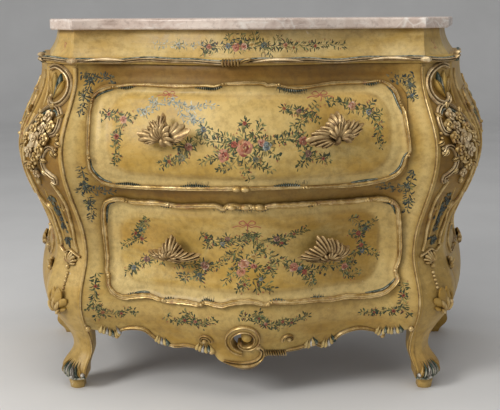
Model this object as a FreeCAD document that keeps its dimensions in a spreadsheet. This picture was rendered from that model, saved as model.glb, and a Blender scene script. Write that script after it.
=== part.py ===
import FreeCAD, Part
import math
import os
import re
import Sketcher

# Bombe chest of two drawers: a painted and carved commode with a marble top.
# Millimetres.  +Z is up, the drawers open towards -Y and +X is on the right of someone facing them.
# The origin is on the floor, under the middle of the whole chest.
# Depths called "set back" count from the line of the front feet and grow towards the back.

Vector = FreeCAD.Vector
doc = FreeCAD.newDocument("bombe_chest")
sheet = doc.addObject("Spreadsheet::Sheet", "sizes")

SIZES = (
    # the stack of heights from the floor to the top
    ("skirt_height", 264, "floor to the lower edge of the lower drawer"),
    ("lower_drawer_height", 232, "lower drawer front, lip to lip"),
    ("middle_rail_height", 42, "visible rail between the drawers"),
    ("upper_drawer_height", 237, "upper drawer front, lip to lip"),
    ("top_rail_height", 41, "visible rail above the upper drawer"),
    ("cornice_height", 17, "carved moulding under the frieze"),
    ("frieze_height", 62, "coved frieze"),
    ("marble_thickness", 25, "marble slab"),
    # heights where the swelling profile turns
    ("toe_level", 46, "widest part of the toe"),
    ("ankle_level", 104, "thinnest part of the leg"),
    ("knee_level", 236, "knee"),
    ("waist_level", 362, "waist of the case"),
    ("bulge_level", 608, "fullest part of the case"),
    ("neck_drop", 16, "top of the posts down to where the neck starts"),
    # half widths of the painted face between the corner posts
    ("face_at_floor", 418, "inner edge of the foot"),
    ("face_at_toe", 412, "inner edge of the toe"),
    ("face_at_ankle", 398, "inner edge of the ankle"),
    ("face_at_knee", 411, "face at the knee"),
    ("face_at_waist", 396, "face at the waist"),
    ("face_at_bulge", 433, "face at the bulge"),
    ("face_at_neck", 401, "face at the neck"),
    # half widths over the outer corners of the front posts
    ("corner_at_floor", 458, "outer edge of the foot"),
    ("corner_at_toe", 482, "outer edge of the toe"),
    ("corner_at_ankle", 453, "outer edge of the ankle"),
    ("corner_at_knee", 512, "corner at the knee"),
    ("corner_at_waist", 484, "corner at the waist"),
    ("corner_at_bulge", 550, "corner at the bulge"),
    ("corner_at_neck", 487, "corner at the neck"),
    # plan of the case
    ("case_depth", 455, "line of the front feet to the back"),
    ("splay", 105, "how much further out each side stands at the back than at the front"),
    ("side_bow", 9, "swelling of each side in plan"),
    ("front_bow", 75, "middle of the front ahead of its ends"),
    ("corner_centre", 444, "half width at which a corner post stands on the line of the feet"),
    ("forward_swell", 0.9, "how far the front comes forward for each step outward of the posts"),
    ("corner_cant", 0.8, "setback of the canted post face for each step outward"),
    ("post_return", 45, "post behind its outer corner"),
    ("ankle_return", 10, "ankle behind its outer corner"),
    ("foot_return", 12, "foot behind its outer corner"),
    ("rear_post_depth", 80, "rear post, front to back"),
    ("rear_ankle_depth", 50, "rear ankle, front to back"),
    ("rear_foot_depth", 56, "rear foot, front to back"),
    ("rear_pad_depth", 40, "rear foot where it meets the floor"),
    # boards of the case
    ("face_thickness", 24, "curved rails, stiles and apron of the front"),
    ("side_thickness", 24, "side panels"),
    ("board_thickness", 12, "bottom board and dust board"),
    ("back_thickness", 12, "back boards"),
    ("back_overlap", 20, "back boards past the inner faces of the rear posts at the bulge"),
    ("seam", 0.3, "glue seam along the curved joints"),
    ("frieze_thickness", 26, "frieze boards"),
    ("sub_top_thickness", 20, "board under the marble"),
    ("top_board_inset", 20, "edge of the case's top board inside the neck line"),
    ("frieze_face", 411, "half width of the frieze between its canted corners"),
    ("frieze_corner_return", 22, "frieze corner block behind its outer corner"),
    ("frieze_top_inset", 34, "top of the frieze inside the neck line"),
    ("frieze_foot_inset", 9, "foot of the frieze inside the neck line"),
    ("cornice_reach", 18, "cornice outside the neck line"),
    ("cornice_round", 8, "rounding of the cornice edge"),
    ("marble_inset", 12, "marble edge inside the neck line"),
    ("marble_round", 5, "rounding of the marble edge"),
    ("crown_rear_inset", 10, "frieze, cornice and marble inside the case at the back corners"),
    # apron
    ("apron_low", 90, "lowest point of the apron above the floor"),
    ("apron_drop_half", 80, "half width of the apron's middle drop"),
    ("apron_shelf", 122, "apron beside its middle drop"),
    ("apron_shelf_half", 190, "half width over the apron's shelves"),
    ("apron_arch", 162, "top of the apron's arches"),
    ("apron_arch_half", 262, "half width at the top of the arches"),
    ("apron_tip", 136, "small pointed drop near the leg"),
    ("apron_tip_half", 332, "half width at the pointed drops"),
    ("apron_belly", 7, "swell of the apron's curves"),
    ("apron_leg", 166, "apron where it meets the leg"),
    ("volute_radius", 33, "pierced volute"),
    ("volute_height", 161, "middle of the pierced volute"),
    ("volute_shift", 22, "pierced volute left of the middle"),
    ("side_apron_low", 150, "lowest point of a side apron"),
    ("side_apron_end", 182, "side apron where it meets a leg"),
    # drawers
    ("upper_stile", 26, "face left beside the upper drawer at the neck"),
    ("lower_stile", 38, "face left beside the lower drawer at the waist"),
    ("corner_radius", 47, "corners of the drawer fronts"),
    ("lip_overlap", 8, "drawer lip over the edge of its opening"),
    ("lip_proud", 8, "drawer front ahead of the face"),
    ("lip_gap", 0.8, "between the lip and the face behind it"),
    ("opening_gap", 2, "around the drawer front inside its opening"),
    ("border_width", 12, "gilt border moulding"),
    ("border_height", 6, "gilt border moulding ahead of the drawer front"),
    ("box_inset", 14, "drawer box inside its opening"),
    ("drawer_side_thickness", 14, "drawer sides and backs"),
    ("drawer_bottom_thickness", 8, "drawer bottoms"),
    ("drawer_groove", 5, "drawer bottom let into the sides"),
    ("drawer_bottom_rise", 5, "drawer bottom above the lower edges of the sides"),
    ("running_gap", 0.6, "between a drawer and what it runs on"),
    ("guide_gap", 1.5, "between a drawer and its guides"),
    ("runner_width", 40, "bearing width of a runner"),
    ("upper_runner_height", 20, "upper runner above the dust board"),
    ("guide_width", 20, "guide strip"),
    ("guide_rise", 30, "guide strip above the lower edge of the drawer side"),
    ("kicker_width", 25, "kicker strip"),
    ("upper_kicker_height", 25, "upper kicker strip"),
    ("stop_length", 20, "drawer stop, front to back"),
    ("stop_width", 40, "drawer stop"),
    ("stop_rise", 25, "drawer stop above the lower edge of the drawer"),
    ("stop_spread", 150, "drawer stops either side of the middle"),
    ("stop_gap", 1, "between a closed drawer and its stops"),
    ("block_length", 45, "glue block under the bottom board"),
    # handles
    ("upper_handle_spread", 192, "upper handles either side of the middle"),
    ("lower_handle_spread", 170, "lower handles either side of the middle"),
    ("handle_rise", 1, "handles above the middle of their drawer"),
    ("handle_stem_radius", 10, "stem behind the leaf"),
    ("handle_stem", 30, "leaf ahead of the drawer front"),
    ("wing_length", 66, "side leaf from the stem"),
    ("crest_length", 50, "upright leaf from the stem"),
    ("leaf_root_radius", 12, "leaf at its root"),
    ("leaf_tip_radius", 5, "leaf at its tip"),
    ("boss_radius", 17, "ball below the leaves"),
    ("boss_drop", 8, "ball below the stem"),
    ("boss_lead", 1, "ball ahead of the leaves"),
    ("bolt_radius", 2.5, "handle bolt"),
    ("bolt_gap", 0.5, "around the bolt in the drawer front"),
    ("bolt_in_handle", 24, "handle bolt inside the handle"),
    ("washer_radius", 9, "washer"),
    ("washer_thickness", 1.6, "washer"),
    ("nut_radius", 5, "round nut"),
    ("nut_height", 4, "round nut"),
    ("seat_radius", 11, "flat seat for the washer inside the drawer front"),
    ("seat_depth", 4, "flat seat for the washer inside the drawer front"),
    # back screws
    ("screw_radius", 2, "back screw"),
    ("screw_head_radius", 4, "back screw head"),
    ("screw_head_height", 3, "back screw head"),
    ("screw_length", 30, "back screw"),
    ("screw_edge", 10, "back screws from the ends of the boards"),
    ("screw_margin", 30, "back screws from the long edges of the boards"),
)

for row, (name, value, meaning) in enumerate(SIZES, 1):
    sheet.set("A%d" % row, meaning)
    sheet.set("B%d" % row, str(value))
    sheet.setAlias("B%d" % row, name)
doc.recompute()
ALIASES = {name for name, value, meaning in SIZES}


def size(name):
    """Value of one cell of the sheet."""
    return float(sheet.get(name))


def derived(name, value):
    """Adds a value that follows from the sizes to the sheet, for the bound pieces."""
    row = len(ALIASES) + 1
    sheet.set("B%d" % row, str(round(value, 4)))
    sheet.setAlias("B%d" % row, name)
    ALIASES.add(name)


def cell(word):
    return "sizes." + word[0] if word[0] in ALIASES else word[0]


def bind(piece, prop, formula):
    """Ties a property to the sheet; the formula names the cells plainly."""
    piece.setExpression(prop, re.sub(r"[a-z_]+", cell, formula))


# ---------------------------------------------------------------- heights
lower_low = size("skirt_height")
lower_high = lower_low + size("lower_drawer_height")
upper_low = lower_high + size("middle_rail_height")
upper_high = upper_low + size("upper_drawer_height")
case_top = upper_high + size("top_rail_height")
frieze_low = case_top + size("cornice_height")
frieze_high = frieze_low + size("frieze_height")
LOWER_LOW = "skirt_height"
LOWER_HIGH = "(" + LOWER_LOW + " + lower_drawer_height)"
UPPER_LOW = "(" + LOWER_HIGH + " + middle_rail_height)"
UPPER_HIGH = "(" + UPPER_LOW + " + upper_drawer_height)"
CASE_TOP = "(" + UPPER_HIGH + " + top_rail_height)"

# ---------------------------------------------------------------- the swelling profile
TURNS = ("floor", "toe", "ankle", "knee", "waist", "bulge", "neck")
turn_levels = [0.0]
turn_levels += [size(turn + "_level") for turn in TURNS[1:-1]]
turn_levels += [case_top - size("neck_drop")]
STEPS_PER_TURN = 4


def blend(height, values):
    """Profile value at a height: half a cosine wave joins each turn to the next."""
    if height >= turn_levels[-1]:
        return values[-1]
    for low, high, start, stop in zip(turn_levels, turn_levels[1:], values, values[1:]):
        if height <= high:
            share = (height - low) / (high - low)
            return start + (stop - start) * (1 - math.cos(math.pi * share)) / 2
    return values[-1]


FACE_VALUES = [size("face_at_" + turn) for turn in TURNS]
CORNER_VALUES = [size("corner_at_" + turn) for turn in TURNS]
RETURN_VALUES = [size(part + "_return") for part in ("foot", "foot", "ankle")]
RETURN_VALUES += [size("post_return")] * 4
REAR_VALUES = [size("rear_" + part + "_depth") for part in ("pad", "foot", "ankle")]
REAR_VALUES += [size("rear_post_depth")] * 4
CREST_SHARE = 0.8


def face_half(height):
    return blend(height, FACE_VALUES)


def corner_half(height):
    return blend(height, CORNER_VALUES)


def post_middle(height):
    """Setback of the middle of the canted post face."""
    outward = (face_half(height) + corner_half(height)) / 2 - size("corner_centre")
    return -size("forward_swell") * outward


def cant_half(height):
    return size("corner_cant") * (corner_half(height) - face_half(height)) / 2


def serpentine(share):
    """Bow of the front from 0 at its ends to 1 in the middle, hollow just inside the ends."""
    wave = (1 + math.cos(math.pi * min(abs(share), 1) / CREST_SHARE)) / 2
    end = (1 + math.cos(math.pi / CREST_SHARE)) / 2
    return (wave - end) / (1 - end)


def face_setback(across, height):
    """Setback of the painted front at a point."""
    edge = post_middle(height) - cant_half(height)
    return edge - size("front_bow") * serpentine(across / face_half(height))


def corner_setback(height):
    return post_middle(height) + cant_half(height)


def return_setback(height):
    return corner_setback(height) + blend(height, RETURN_VALUES)


def rear_setback(height):
    return size("case_depth") - blend(height, REAR_VALUES)


def side_half(height, setback):
    """Half width over the sides at a height and a setback."""
    start = corner_setback(height)
    share = (setback - start) / (size("case_depth") - start)
    return corner_half(height) + size("splay") * share + size("side_bow") * math.sin(math.pi * share)


handle_height = {
    "upper": (upper_low + upper_high) / 2 + size("handle_rise"),
    "lower": (lower_low + lower_high) / 2 + size("handle_rise"),
}
handle_setback = {
    level: face_setback(size(level + "_handle_spread"), handle_height[level]) - size("lip_proud")
    for level in handle_height
}
HANDLE_PROBE = 1
handle_turn = {}
for level, height in handle_height.items():
    across = size(level + "_handle_spread")
    run_back = face_setback(across + HANDLE_PROBE, height) - face_setback(across - HANDLE_PROBE, height)
    handle_turn[level] = math.degrees(math.atan2(run_back, 2 * HANDLE_PROBE))
handle_reach = size("handle_stem") + size("boss_lead") + size("boss_radius")
fullest = max(upper_low, min(upper_high, size("bulge_level")))
front_reach = min([face_setback(0, fullest) - size("lip_proud")]
                  + [setback - handle_reach for setback in handle_setback.values()])
feet_line = -(size("case_depth") + front_reach) / 2
derived("back_plane", feet_line + size("case_depth"))
derived("upper_handle_face", feet_line + handle_setback["upper"])
derived("lower_handle_face", feet_line + handle_setback["lower"])
derived("post_back_plane", feet_line + return_setback(size("knee_level")))
derived("corner_block_back", feet_line + corner_setback(case_top) + size("frieze_corner_return"))
derived("rebate_half", size("face_at_bulge") + size("splay") + size("back_overlap"))
doc.recompute()


def at(across, setback, height):
    """Point of the chest from its place across, its setback and its height."""
    return Vector(across, feet_line + setback, height)


# ---------------------------------------------------------------- helpers for pieces
nodes = []


def node(piece, label):
    piece.Label = label
    nodes.append(piece)
    return piece


def shaped(name, shape):
    """A curved piece whose shape is worked out here from the sheet's sizes."""
    piece = doc.addObject("Part::Feature", name)
    piece.Shape = shape
    return piece


def box(name, corner, extent):
    """A bound block: low corner and extent as formulas."""
    piece = doc.addObject("Part::Box", name)
    for axis, formula in zip("xyz", corner):
        bind(piece, "Placement.Base." + axis, formula)
    for prop, formula in zip(("Length", "Width", "Height"), extent):
        bind(piece, prop, formula)
    return piece


def cylinder_along_y(name, radius, corner, length):
    """A bound round bar from a point towards +Y."""
    piece = doc.addObject("Part::Cylinder", name)
    piece.Placement = FreeCAD.Placement(Vector(), FreeCAD.Rotation(Vector(1, 0, 0), -90))
    for axis, formula in zip("xyz", corner):
        bind(piece, "Placement.Base." + axis, formula)
    bind(piece, "Radius", radius)
    bind(piece, "Height", length)
    return piece


def common(name, base, tool):
    piece = doc.addObject("Part::Common", name)
    piece.Base = base
    piece.Tool = tool
    return piece


def cut(name, base, tool):
    piece = doc.addObject("Part::Cut", name)
    piece.Base = base
    piece.Tool = tool
    return piece


def cut_all(name, base, tools):
    """Takes one tool after another out of a piece."""
    for index, tool in enumerate(tools, 1):
        base = cut("%s_%d" % (name, index), base, tool)
    return base


def fused(name, pieces):
    piece = doc.addObject("Part::MultiFuse", name)
    piece.Shapes = pieces
    return piece


def group(name, pieces):
    piece = doc.addObject("Part::Compound", name)
    piece.Links = pieces
    return piece


def mirrored(name, source):
    piece = doc.addObject("Part::Mirroring", name)
    piece.Source = source
    piece.Normal = Vector(1, 0, 0)
    return piece


def pair(right, label):
    """Makes the right piece and its mirror image on the left into two nodes."""
    node(right, label + "_right")
    left = mirrored(right.Name + "_mirror", right)
    return [right, node(left, label + "_left")]


def spread(low, high, count):
    return [low + (high - low) * step / count for step in range(count + 1)]


def profile_levels(low, high):
    """Heights of the sections between two heights: the turns and even steps between them."""
    levels = {low, high}
    for start, stop in zip(turn_levels, turn_levels[1:]):
        levels.update(level for level in spread(start, stop, STEPS_PER_TURN) if low < level < high)
    return sorted(levels)


def smooth_surface(rows):
    surface = Part.BSplineSurface()
    surface.interpolate(rows)
    return surface.toShape()


# ---------------------------------------------------------------- posts and legs
def post_solid(corners):
    """Solid through the four corners that a function gives at each height."""
    sections = []
    for height in profile_levels(0, case_top):
        points = corners(height)
        sections.append(Part.makePolygon(points + points[:1]))
    return Part.makeLoft(sections, True, False)


def front_post_corners(height):
    return [
        at(face_half(height), face_setback(face_half(height), height), height),
        at(corner_half(height), corner_setback(height), height),
        at(side_half(height, return_setback(height)), return_setback(height), height),
        at(face_half(height), return_setback(height), height),
    ]


def rear_post_corners(height):
    front = rear_setback(height)
    back = size("case_depth")
    width = corner_half(height) - face_half(height)
    return [
        at(side_half(height, front), front, height),
        at(side_half(height, back), back, height),
        at(side_half(height, back) - width, back, height),
        at(side_half(height, back) - width, front, height),
    ]


front_post = shaped("front_post", post_solid(front_post_corners))
front_posts = pair(front_post, "front_post")

rebate = box("rebate",
             ("-rebate_half", "back_plane - back_thickness", LOWER_LOW + " - board_thickness"),
             ("2 * rebate_half", "2 * back_thickness", CASE_TOP))
rear_blank = shaped("rear_blank", post_solid(rear_post_corners))
rear_posts = pair(cut("rear_post", rear_blank, rebate), "rear_post")

# ---------------------------------------------------------------- painted front
FACE_COLUMNS = 24
FACE_ROWS = 26
SLAB_MARGIN = 25


def face_slab(ahead, depth):
    """Slab behind the painted front: its front face lies ahead of the front by the given amount."""
    rows = []
    for height in spread(size("apron_low") - SLAB_MARGIN, case_top, FACE_ROWS):
        half = face_half(height) - size("seam")
        columns = spread(-half, half, FACE_COLUMNS)
        rows.append([at(x, face_setback(x, height) - ahead, height) for x in columns])
    return smooth_surface(rows).extrude(Vector(0, depth, 0))


ROUGH = 100
ALONG_Y = 0.99
# formulas that reach past the whole chest
FAR = "(2 * case_depth)"
SPAN = "(4 * case_depth)"


def rounded_block(name, half_width, low, high, radius):
    """Block that runs right through the chest from front to back, with rounded corners."""
    body = doc.addObject("PartDesign::Body", name)
    sketch = body.newObject("Sketcher::SketchObject", name + "_outline")
    plane = [item for item in body.Origin.OriginFeatures if item.Role == "XZ_Plane"][0]
    sketch.AttachmentSupport = [(plane, "")]
    sketch.MapMode = "FlatFace"
    ends = [Vector(-ROUGH, 0), Vector(ROUGH, 0), Vector(ROUGH, ROUGH), Vector(-ROUGH, ROUGH)]
    for start, stop in zip(ends, ends[1:] + ends[:1]):
        sketch.addGeometry(Part.LineSegment(start, stop))
    for line in range(4):
        sketch.addConstraint(Sketcher.Constraint("Coincident", line, 2, (line + 1) % 4, 1))
    for line, direction in enumerate(("Horizontal", "Vertical", "Horizontal", "Vertical")):
        sketch.addConstraint(Sketcher.Constraint(direction, line))
    measures = (
        ("left", "DistanceX", (0, 1, -1, 1), half_width),
        ("right", "DistanceX", (-1, 1, 1, 1), half_width),
        ("low", "DistanceY", (-1, 1, 0, 1), low),
        ("high", "DistanceY", (-1, 1, 2, 1), high),
    )
    for measure, kind, points, formula in measures:
        index = sketch.addConstraint(Sketcher.Constraint(kind, *points, ROUGH))
        sketch.renameConstraint(index, measure)
        bind(sketch, "Constraints." + measure, formula)
    pad = body.newObject("PartDesign::Pad", name + "_pad")
    pad.Profile = sketch
    pad.Midplane = True
    bind(pad, "Length", SPAN)
    doc.recompute([sketch, pad])
    through = ["Edge%d" % index for index, edge in enumerate(pad.Shape.Edges, 1)
               if abs(edge.tangentAt(edge.FirstParameter).y) > ALONG_Y]
    fillet = body.newObject("PartDesign::Fillet", name + "_corners")
    fillet.Base = (pad, through)
    bind(fillet, "Radius", radius)
    body.Tip = fillet
    return body


HALF = {
    "upper": "(min(face_at_neck; face_at_bulge) - upper_stile)",
    "lower": "(min(face_at_waist; face_at_bulge) - lower_stile)",
}
LOW = {"upper": UPPER_LOW, "lower": LOWER_LOW}
HIGH = {"upper": UPPER_HIGH, "lower": LOWER_HIGH}


def panel_block(level, part, inset):
    """Block of a drawer front's outline, drawn in on all sides by an inset."""
    return rounded_block(level + "_" + part, HALF[level] + " - (" + inset + ")",
                         LOW[level] + " + (" + inset + ")", HIGH[level] + " - (" + inset + ")",
                         "corner_radius - (" + inset + ")")


BOX_INSET = "(lip_overlap + box_inset)"
BOX_HALF = {level: "(" + HALF[level] + " - " + BOX_INSET + ")" for level in HALF}
BOX_LOW = {level: "(" + LOW[level] + " + " + BOX_INSET + ")" for level in LOW}
BOX_HIGH = {level: "(" + HIGH[level] + " - " + BOX_INSET + ")" for level in HIGH}
openings = [panel_block(level, "opening", "lip_overlap") for level in ("upper", "lower")]


def scalloped_cutter(arcs, end, far):
    """Everything below a scalloped edge: arcs of three points from the middle out, then its level end."""
    edges = []
    for sign in (1, -1):
        for arc in arcs:
            edges.append(Part.Arc(*[at(sign * across, -far, height) for across, height in arc]).toShape())
        tip = at(sign * arcs[-1][2][0], -far, arcs[-1][2][1])
        leg = at(sign * end[0], -far, end[1])
        outer = at(sign * far, -far, end[1])
        floor = at(sign * far, -far, 0)
        edges += [Part.makeLine(tip, leg), Part.makeLine(leg, outer), Part.makeLine(outer, floor)]
    edges.append(Part.makeLine(at(far, -far, 0), at(-far, -far, 0)))
    wire = Part.Wire(Part.__sortEdges__(edges))
    return Part.Face(wire).extrude(Vector(0, 3 * far, 0))


DROP_BEND = 0.7


def apron_arcs():
    low, shelf, arch, tip = (size("apron_" + part) for part in ("low", "shelf", "arch", "tip"))
    drop_half = size("apron_drop_half")
    shelf_half = size("apron_shelf_half")
    arch_half = size("apron_arch_half")
    tip_half = size("apron_tip_half")
    belly = size("apron_belly")
    return (
        ((0, low), (drop_half * DROP_BEND, low + belly), (drop_half, shelf)),
        ((drop_half, shelf), ((drop_half + shelf_half) / 2, shelf + belly), (shelf_half, shelf)),
        ((shelf_half, shelf), ((shelf_half + arch_half) / 2, (shelf + arch) / 2 + belly), (arch_half, arch)),
        ((arch_half, arch), ((arch_half + tip_half) / 2, (arch + tip) / 2 + belly), (tip_half, tip)),
    )


apron_end = (size("face_at_ankle"), size("apron_leg"))
apron_reach = size("case_depth") + size("splay")
apron_cut = shaped("apron_cut", scalloped_cutter(apron_arcs(), apron_end, apron_reach))
volute_start = ("-volute_shift", "-" + FAR, "volute_height")
volute_hole = cylinder_along_y("volute_hole", "volute_radius", volute_start, SPAN)
face_blank = shaped("face_blank", face_slab(0, size("face_thickness")))
face_frame = cut_all("face_frame", face_blank, openings + [apron_cut, volute_hole])

STILE_LINE = "(" + BOX_HALF["upper"] + " - drawer_side_thickness / 2)"
between = ("-" + STILE_LINE, "-" + FAR)
between_extent = ("2 * " + STILE_LINE, SPAN)
rail_zones = (
    ("front_apron", "0", LOWER_LOW + " + corner_radius"),
    ("middle_rail", LOWER_HIGH + " - corner_radius", "middle_rail_height + 2 * corner_radius"),
    ("top_rail", UPPER_HIGH + " - corner_radius", "top_rail_height + 2 * corner_radius"),
)
for name, low, height in rail_zones:
    zone = box(name + "_zone", between + (low,), between_extent + (height,))
    node(common(name, face_frame, zone), name)
stile_zone = box("stile_zone", (STILE_LINE, "-" + FAR, "0"), (FAR, SPAN, CASE_TOP))
pair(common("stile", face_frame, stile_zone), "stile")

# ---------------------------------------------------------------- sides
SIDE_COLUMNS = 10


def side_slab():
    """Right side panel and apron in one, between the two posts."""
    rows = []
    for height in spread(size("side_apron_low") - SLAB_MARGIN, case_top, FACE_ROWS):
        front = return_setback(height) + size("seam")
        setbacks = spread(front, rear_setback(height) - size("seam"), SIDE_COLUMNS)
        rows.append([at(side_half(height, setback), setback, height) for setback in setbacks])
    return smooth_surface(rows).extrude(Vector(-size("side_thickness"), 0, 0))


def side_apron_cutter():
    """Everything below the lower edge of a side apron."""
    front = return_setback(size("knee_level"))
    back = rear_setback(size("knee_level"))
    low = size("side_apron_low")
    end = size("side_apron_end")
    points = [
        Vector(0, feet_line + front - size("post_return"), end),
        Vector(0, feet_line + front, end),
        Vector(0, feet_line + (front + back) / 2, low),
        Vector(0, feet_line + back, end),
        Vector(0, feet_line + size("case_depth"), end),
    ]
    curve = Part.BSplineCurve()
    curve.interpolate(points)
    ground = [Vector(0, point.y, 0) for point in (points[-1], points[0])]
    edges = [curve.toShape(), Part.makeLine(points[-1], ground[0]), Part.makeLine(*ground)]
    edges.append(Part.makeLine(ground[1], points[0]))
    return Part.Face(Part.Wire(edges)).extrude(Vector(2 * size("case_depth"), 0, 0))


side_scalloped = cut_all("side_scalloped", shaped("side_slab", side_slab()),
                         [shaped("side_apron_cut", side_apron_cutter())])
side_zones = (
    ("side_apron", "0", LOWER_LOW),
    ("side_panel", LOWER_LOW, CASE_TOP),
)
for name, low, height in side_zones:
    zone = box(name + "_zone", ("0", "-" + FAR, low), (FAR, SPAN, height))
    pair(common(name, side_scalloped, zone), name)

# ---------------------------------------------------------------- room inside the case
INNER_COLUMNS = 12


def inner_section(height):
    """Outline of the room inside the face, posts, sides and back at a height."""
    seam = size("seam")
    thickness = size("side_thickness") + seam
    half = face_half(height) - seam
    front = [at(x, face_setback(x, height) + size("face_thickness") + seam, height)
             for x in spread(-half, half, INNER_COLUMNS)]
    curve = Part.BSplineCurve()
    curve.interpolate(front)
    post_back = return_setback(height) + seam
    rear_front = rear_setback(height) - seam
    back = size("case_depth") - size("back_thickness")
    rear_inner = side_half(height, size("case_depth")) - corner_half(height) + face_half(height) - seam
    side = [(side_half(height, setback) - thickness, setback)
            for setback in (post_back, (post_back + rear_front) / 2, rear_front)]

    def flank(sign):
        points = [at(sign * across, setback, height) for across, setback in
                  [(half, post_back)] + side + [(rear_inner, rear_front), (rear_inner, back)]]
        edges = [Part.makeLine(front[-1] if sign > 0 else front[0], points[0])]
        edges.append(Part.makeLine(points[0], points[1]))
        edges.append(Part.Arc(points[1], points[2], points[3]).toShape())
        edges.append(Part.makeLine(points[3], points[4]))
        edges.append(Part.makeLine(points[4], points[5]))
        return edges, points[-1]

    right, right_end = flank(1)
    left, left_end = flank(-1)
    edges = [curve.toShape()] + right + [Part.makeLine(right_end, left_end)] + left
    return Part.Wire(Part.__sortEdges__(edges))


inner_sections = [inner_section(level) for level in profile_levels(size("side_apron_end"), case_top)]
inner_room = shaped("inner_room", Part.makeLoft(inner_sections, True, False))


def inside(name, corner, extent):
    """Bound board trimmed to the room inside the case."""
    return common(name, inner_room, box(name + "_blank", corner, extent))


ACROSS = ("-" + FAR, "-" + FAR)
ACROSS_EXTENT = (SPAN, SPAN)
bottom_board_low = "(" + LOWER_LOW + " - board_thickness)"
DUST_TOP = "(" + BOX_LOW["upper"] + " - running_gap - upper_runner_height)"
board_lows = (("bottom_board", bottom_board_low), ("dust_board", DUST_TOP + " - board_thickness"))
for name, low in board_lows:
    node(inside(name, ACROSS + (low,), ACROSS_EXTENT + ("board_thickness",)), name)

# ---------------------------------------------------------------- what the drawers run on
RUNNER_BASE = {"upper": DUST_TOP, "lower": LOWER_LOW}
INNER_BACK = "(back_plane - back_thickness)"
kicker_span = {
    "upper": "upper_kicker_height",
    "lower": "(" + DUST_TOP + " - board_thickness - " + BOX_HIGH["lower"] + " - running_gap)",
}
for level in ("upper", "lower"):
    half = BOX_HALF[level]
    base = RUNNER_BASE[level]
    length = "(" + INNER_BACK + " + " + FAR + ")"
    runner = inside(level + "_runner", (half + " + guide_gap - runner_width", "-" + FAR, base),
                    ("runner_width", length, BOX_LOW[level] + " - running_gap - " + base))
    pair(runner, level + "_runner")
    guide = inside(level + "_guide", (half + " + guide_gap", "-" + FAR, base),
                   ("guide_width", length, BOX_LOW[level] + " + guide_rise - " + base))
    node(group(level + "_guides", [guide, mirrored(level + "_guide_mirror", guide)]), level + "_guides")
    kicker_low = BOX_HIGH[level] + " + running_gap"
    kicker = inside(level + "_kicker", (half + " - kicker_width", "-" + FAR, kicker_low),
                    ("kicker_width", length, kicker_span[level]))
    node(group(level + "_kickers", [kicker, mirrored(level + "_kicker_mirror", kicker)]), level + "_kickers")

stops = []
for level, base in RUNNER_BASE.items():
    stop = box(level + "_stop", ("stop_spread - stop_width / 2", INNER_BACK + " - stop_length", base),
               ("stop_width", "stop_length", BOX_LOW[level] + " + stop_rise - " + base))
    stops += [stop, mirrored(level + "_stop_mirror", stop)]
node(group("stops", stops), "drawer_stops")

blocks = []
block_low = bottom_board_low + " - block_length"
block_places = (
    ("front", "face_at_knee", "post_back_plane - block_length"),
    ("rear", "face_at_knee + splay", INNER_BACK),
)
for name, across, back in block_places:
    block = inside(name + "_block", (across + " - block_length", back + " - block_length", block_low),
                   ("block_length", "block_length", "block_length"))
    blocks += [block, mirrored(name + "_block_mirror", block)]
node(group("blocks", blocks), "glue_blocks")

# ---------------------------------------------------------------- back
back_names = ("lower", "middle", "upper")
back_height = "(" + CASE_TOP + " - " + bottom_board_low + ")"


def turned_body(name, outline):
    """Round piece along Y from its origin, turned from (setback, radius) corners given as formulas."""
    body = doc.addObject("PartDesign::Body", name)
    sketch = body.newObject("Sketcher::SketchObject", name + "_profile")
    plane = [item for item in body.Origin.OriginFeatures if item.Role == "YZ_Plane"][0]
    sketch.AttachmentSupport = [(plane, "")]
    sketch.MapMode = "FlatFace"
    count = len(outline)
    angles = [2 * math.pi * step / count for step in range(count)]
    rough = [Vector(ROUGH * (1 + math.cos(angle)), ROUGH * (1 + math.sin(angle))) for angle in angles]
    for start, stop in zip(rough, rough[1:] + rough[:1]):
        sketch.addGeometry(Part.LineSegment(start, stop))
    for line in range(count):
        sketch.addConstraint(Sketcher.Constraint("Coincident", line, 2, (line + 1) % count, 1))
    for line, (along, radius) in enumerate(outline):
        for kind, formula in (("DistanceX", along), ("DistanceY", radius)):
            index = sketch.addConstraint(Sketcher.Constraint(kind, -1, 1, line, 1, 1))
            label = "%s%d" % ("along" if kind == "DistanceX" else "radius", line)
            sketch.renameConstraint(index, label)
            bind(sketch, "Constraints." + label, formula)
    turn = body.newObject("PartDesign::Revolution", name + "_turn")
    turn.Profile = sketch
    turn.ReferenceAxis = (sketch, ["H_Axis"])
    turn.Angle = 360
    body.Tip = turn
    return body


SCREW_PROFILE = (("0", "0"), ("0", "screw_head_radius"), ("screw_head_height", "screw_radius"),
                 ("screw_length", "screw_radius"), ("screw_length", "0"))
for index, name in enumerate(back_names):
    low = "(%s + %d * %s / %d)" % (bottom_board_low, index, back_height, len(back_names))
    board = box("back_board_" + name, ("-rebate_half", INNER_BACK, low),
                ("2 * rebate_half", "back_thickness", back_height + " / %d" % len(back_names)))
    node(board, "back_board_" + name)

screw = turned_body("screw", SCREW_PROFILE)
doc.recompute(screw.Group + [screw])


def screw_places():
    """Two screws at each end of every back board, in the middle of the overlap on the post."""
    reach = size("rebate_half") - size("screw_edge")
    low = lower_low - size("board_thickness")
    board = (case_top - low) / len(back_names)
    return [Vector(sign * reach, 0, low + index * board + offset)
            for index in range(len(back_names)) for sign in (-1, 1)
            for offset in (size("screw_margin"), board - size("screw_margin"))]


def driven(place):
    """One screw turned to point forwards from the back plane."""
    shape = screw.Shape.copy()
    shape.rotate(Vector(), Vector(0, 0, 1), 180)
    shape.translate(place + Vector(0, size("back_plane"), 0))
    return shape


node(shaped("back_screws", Part.makeCompound([driven(place) for place in screw_places()])), "back_screws")

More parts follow.
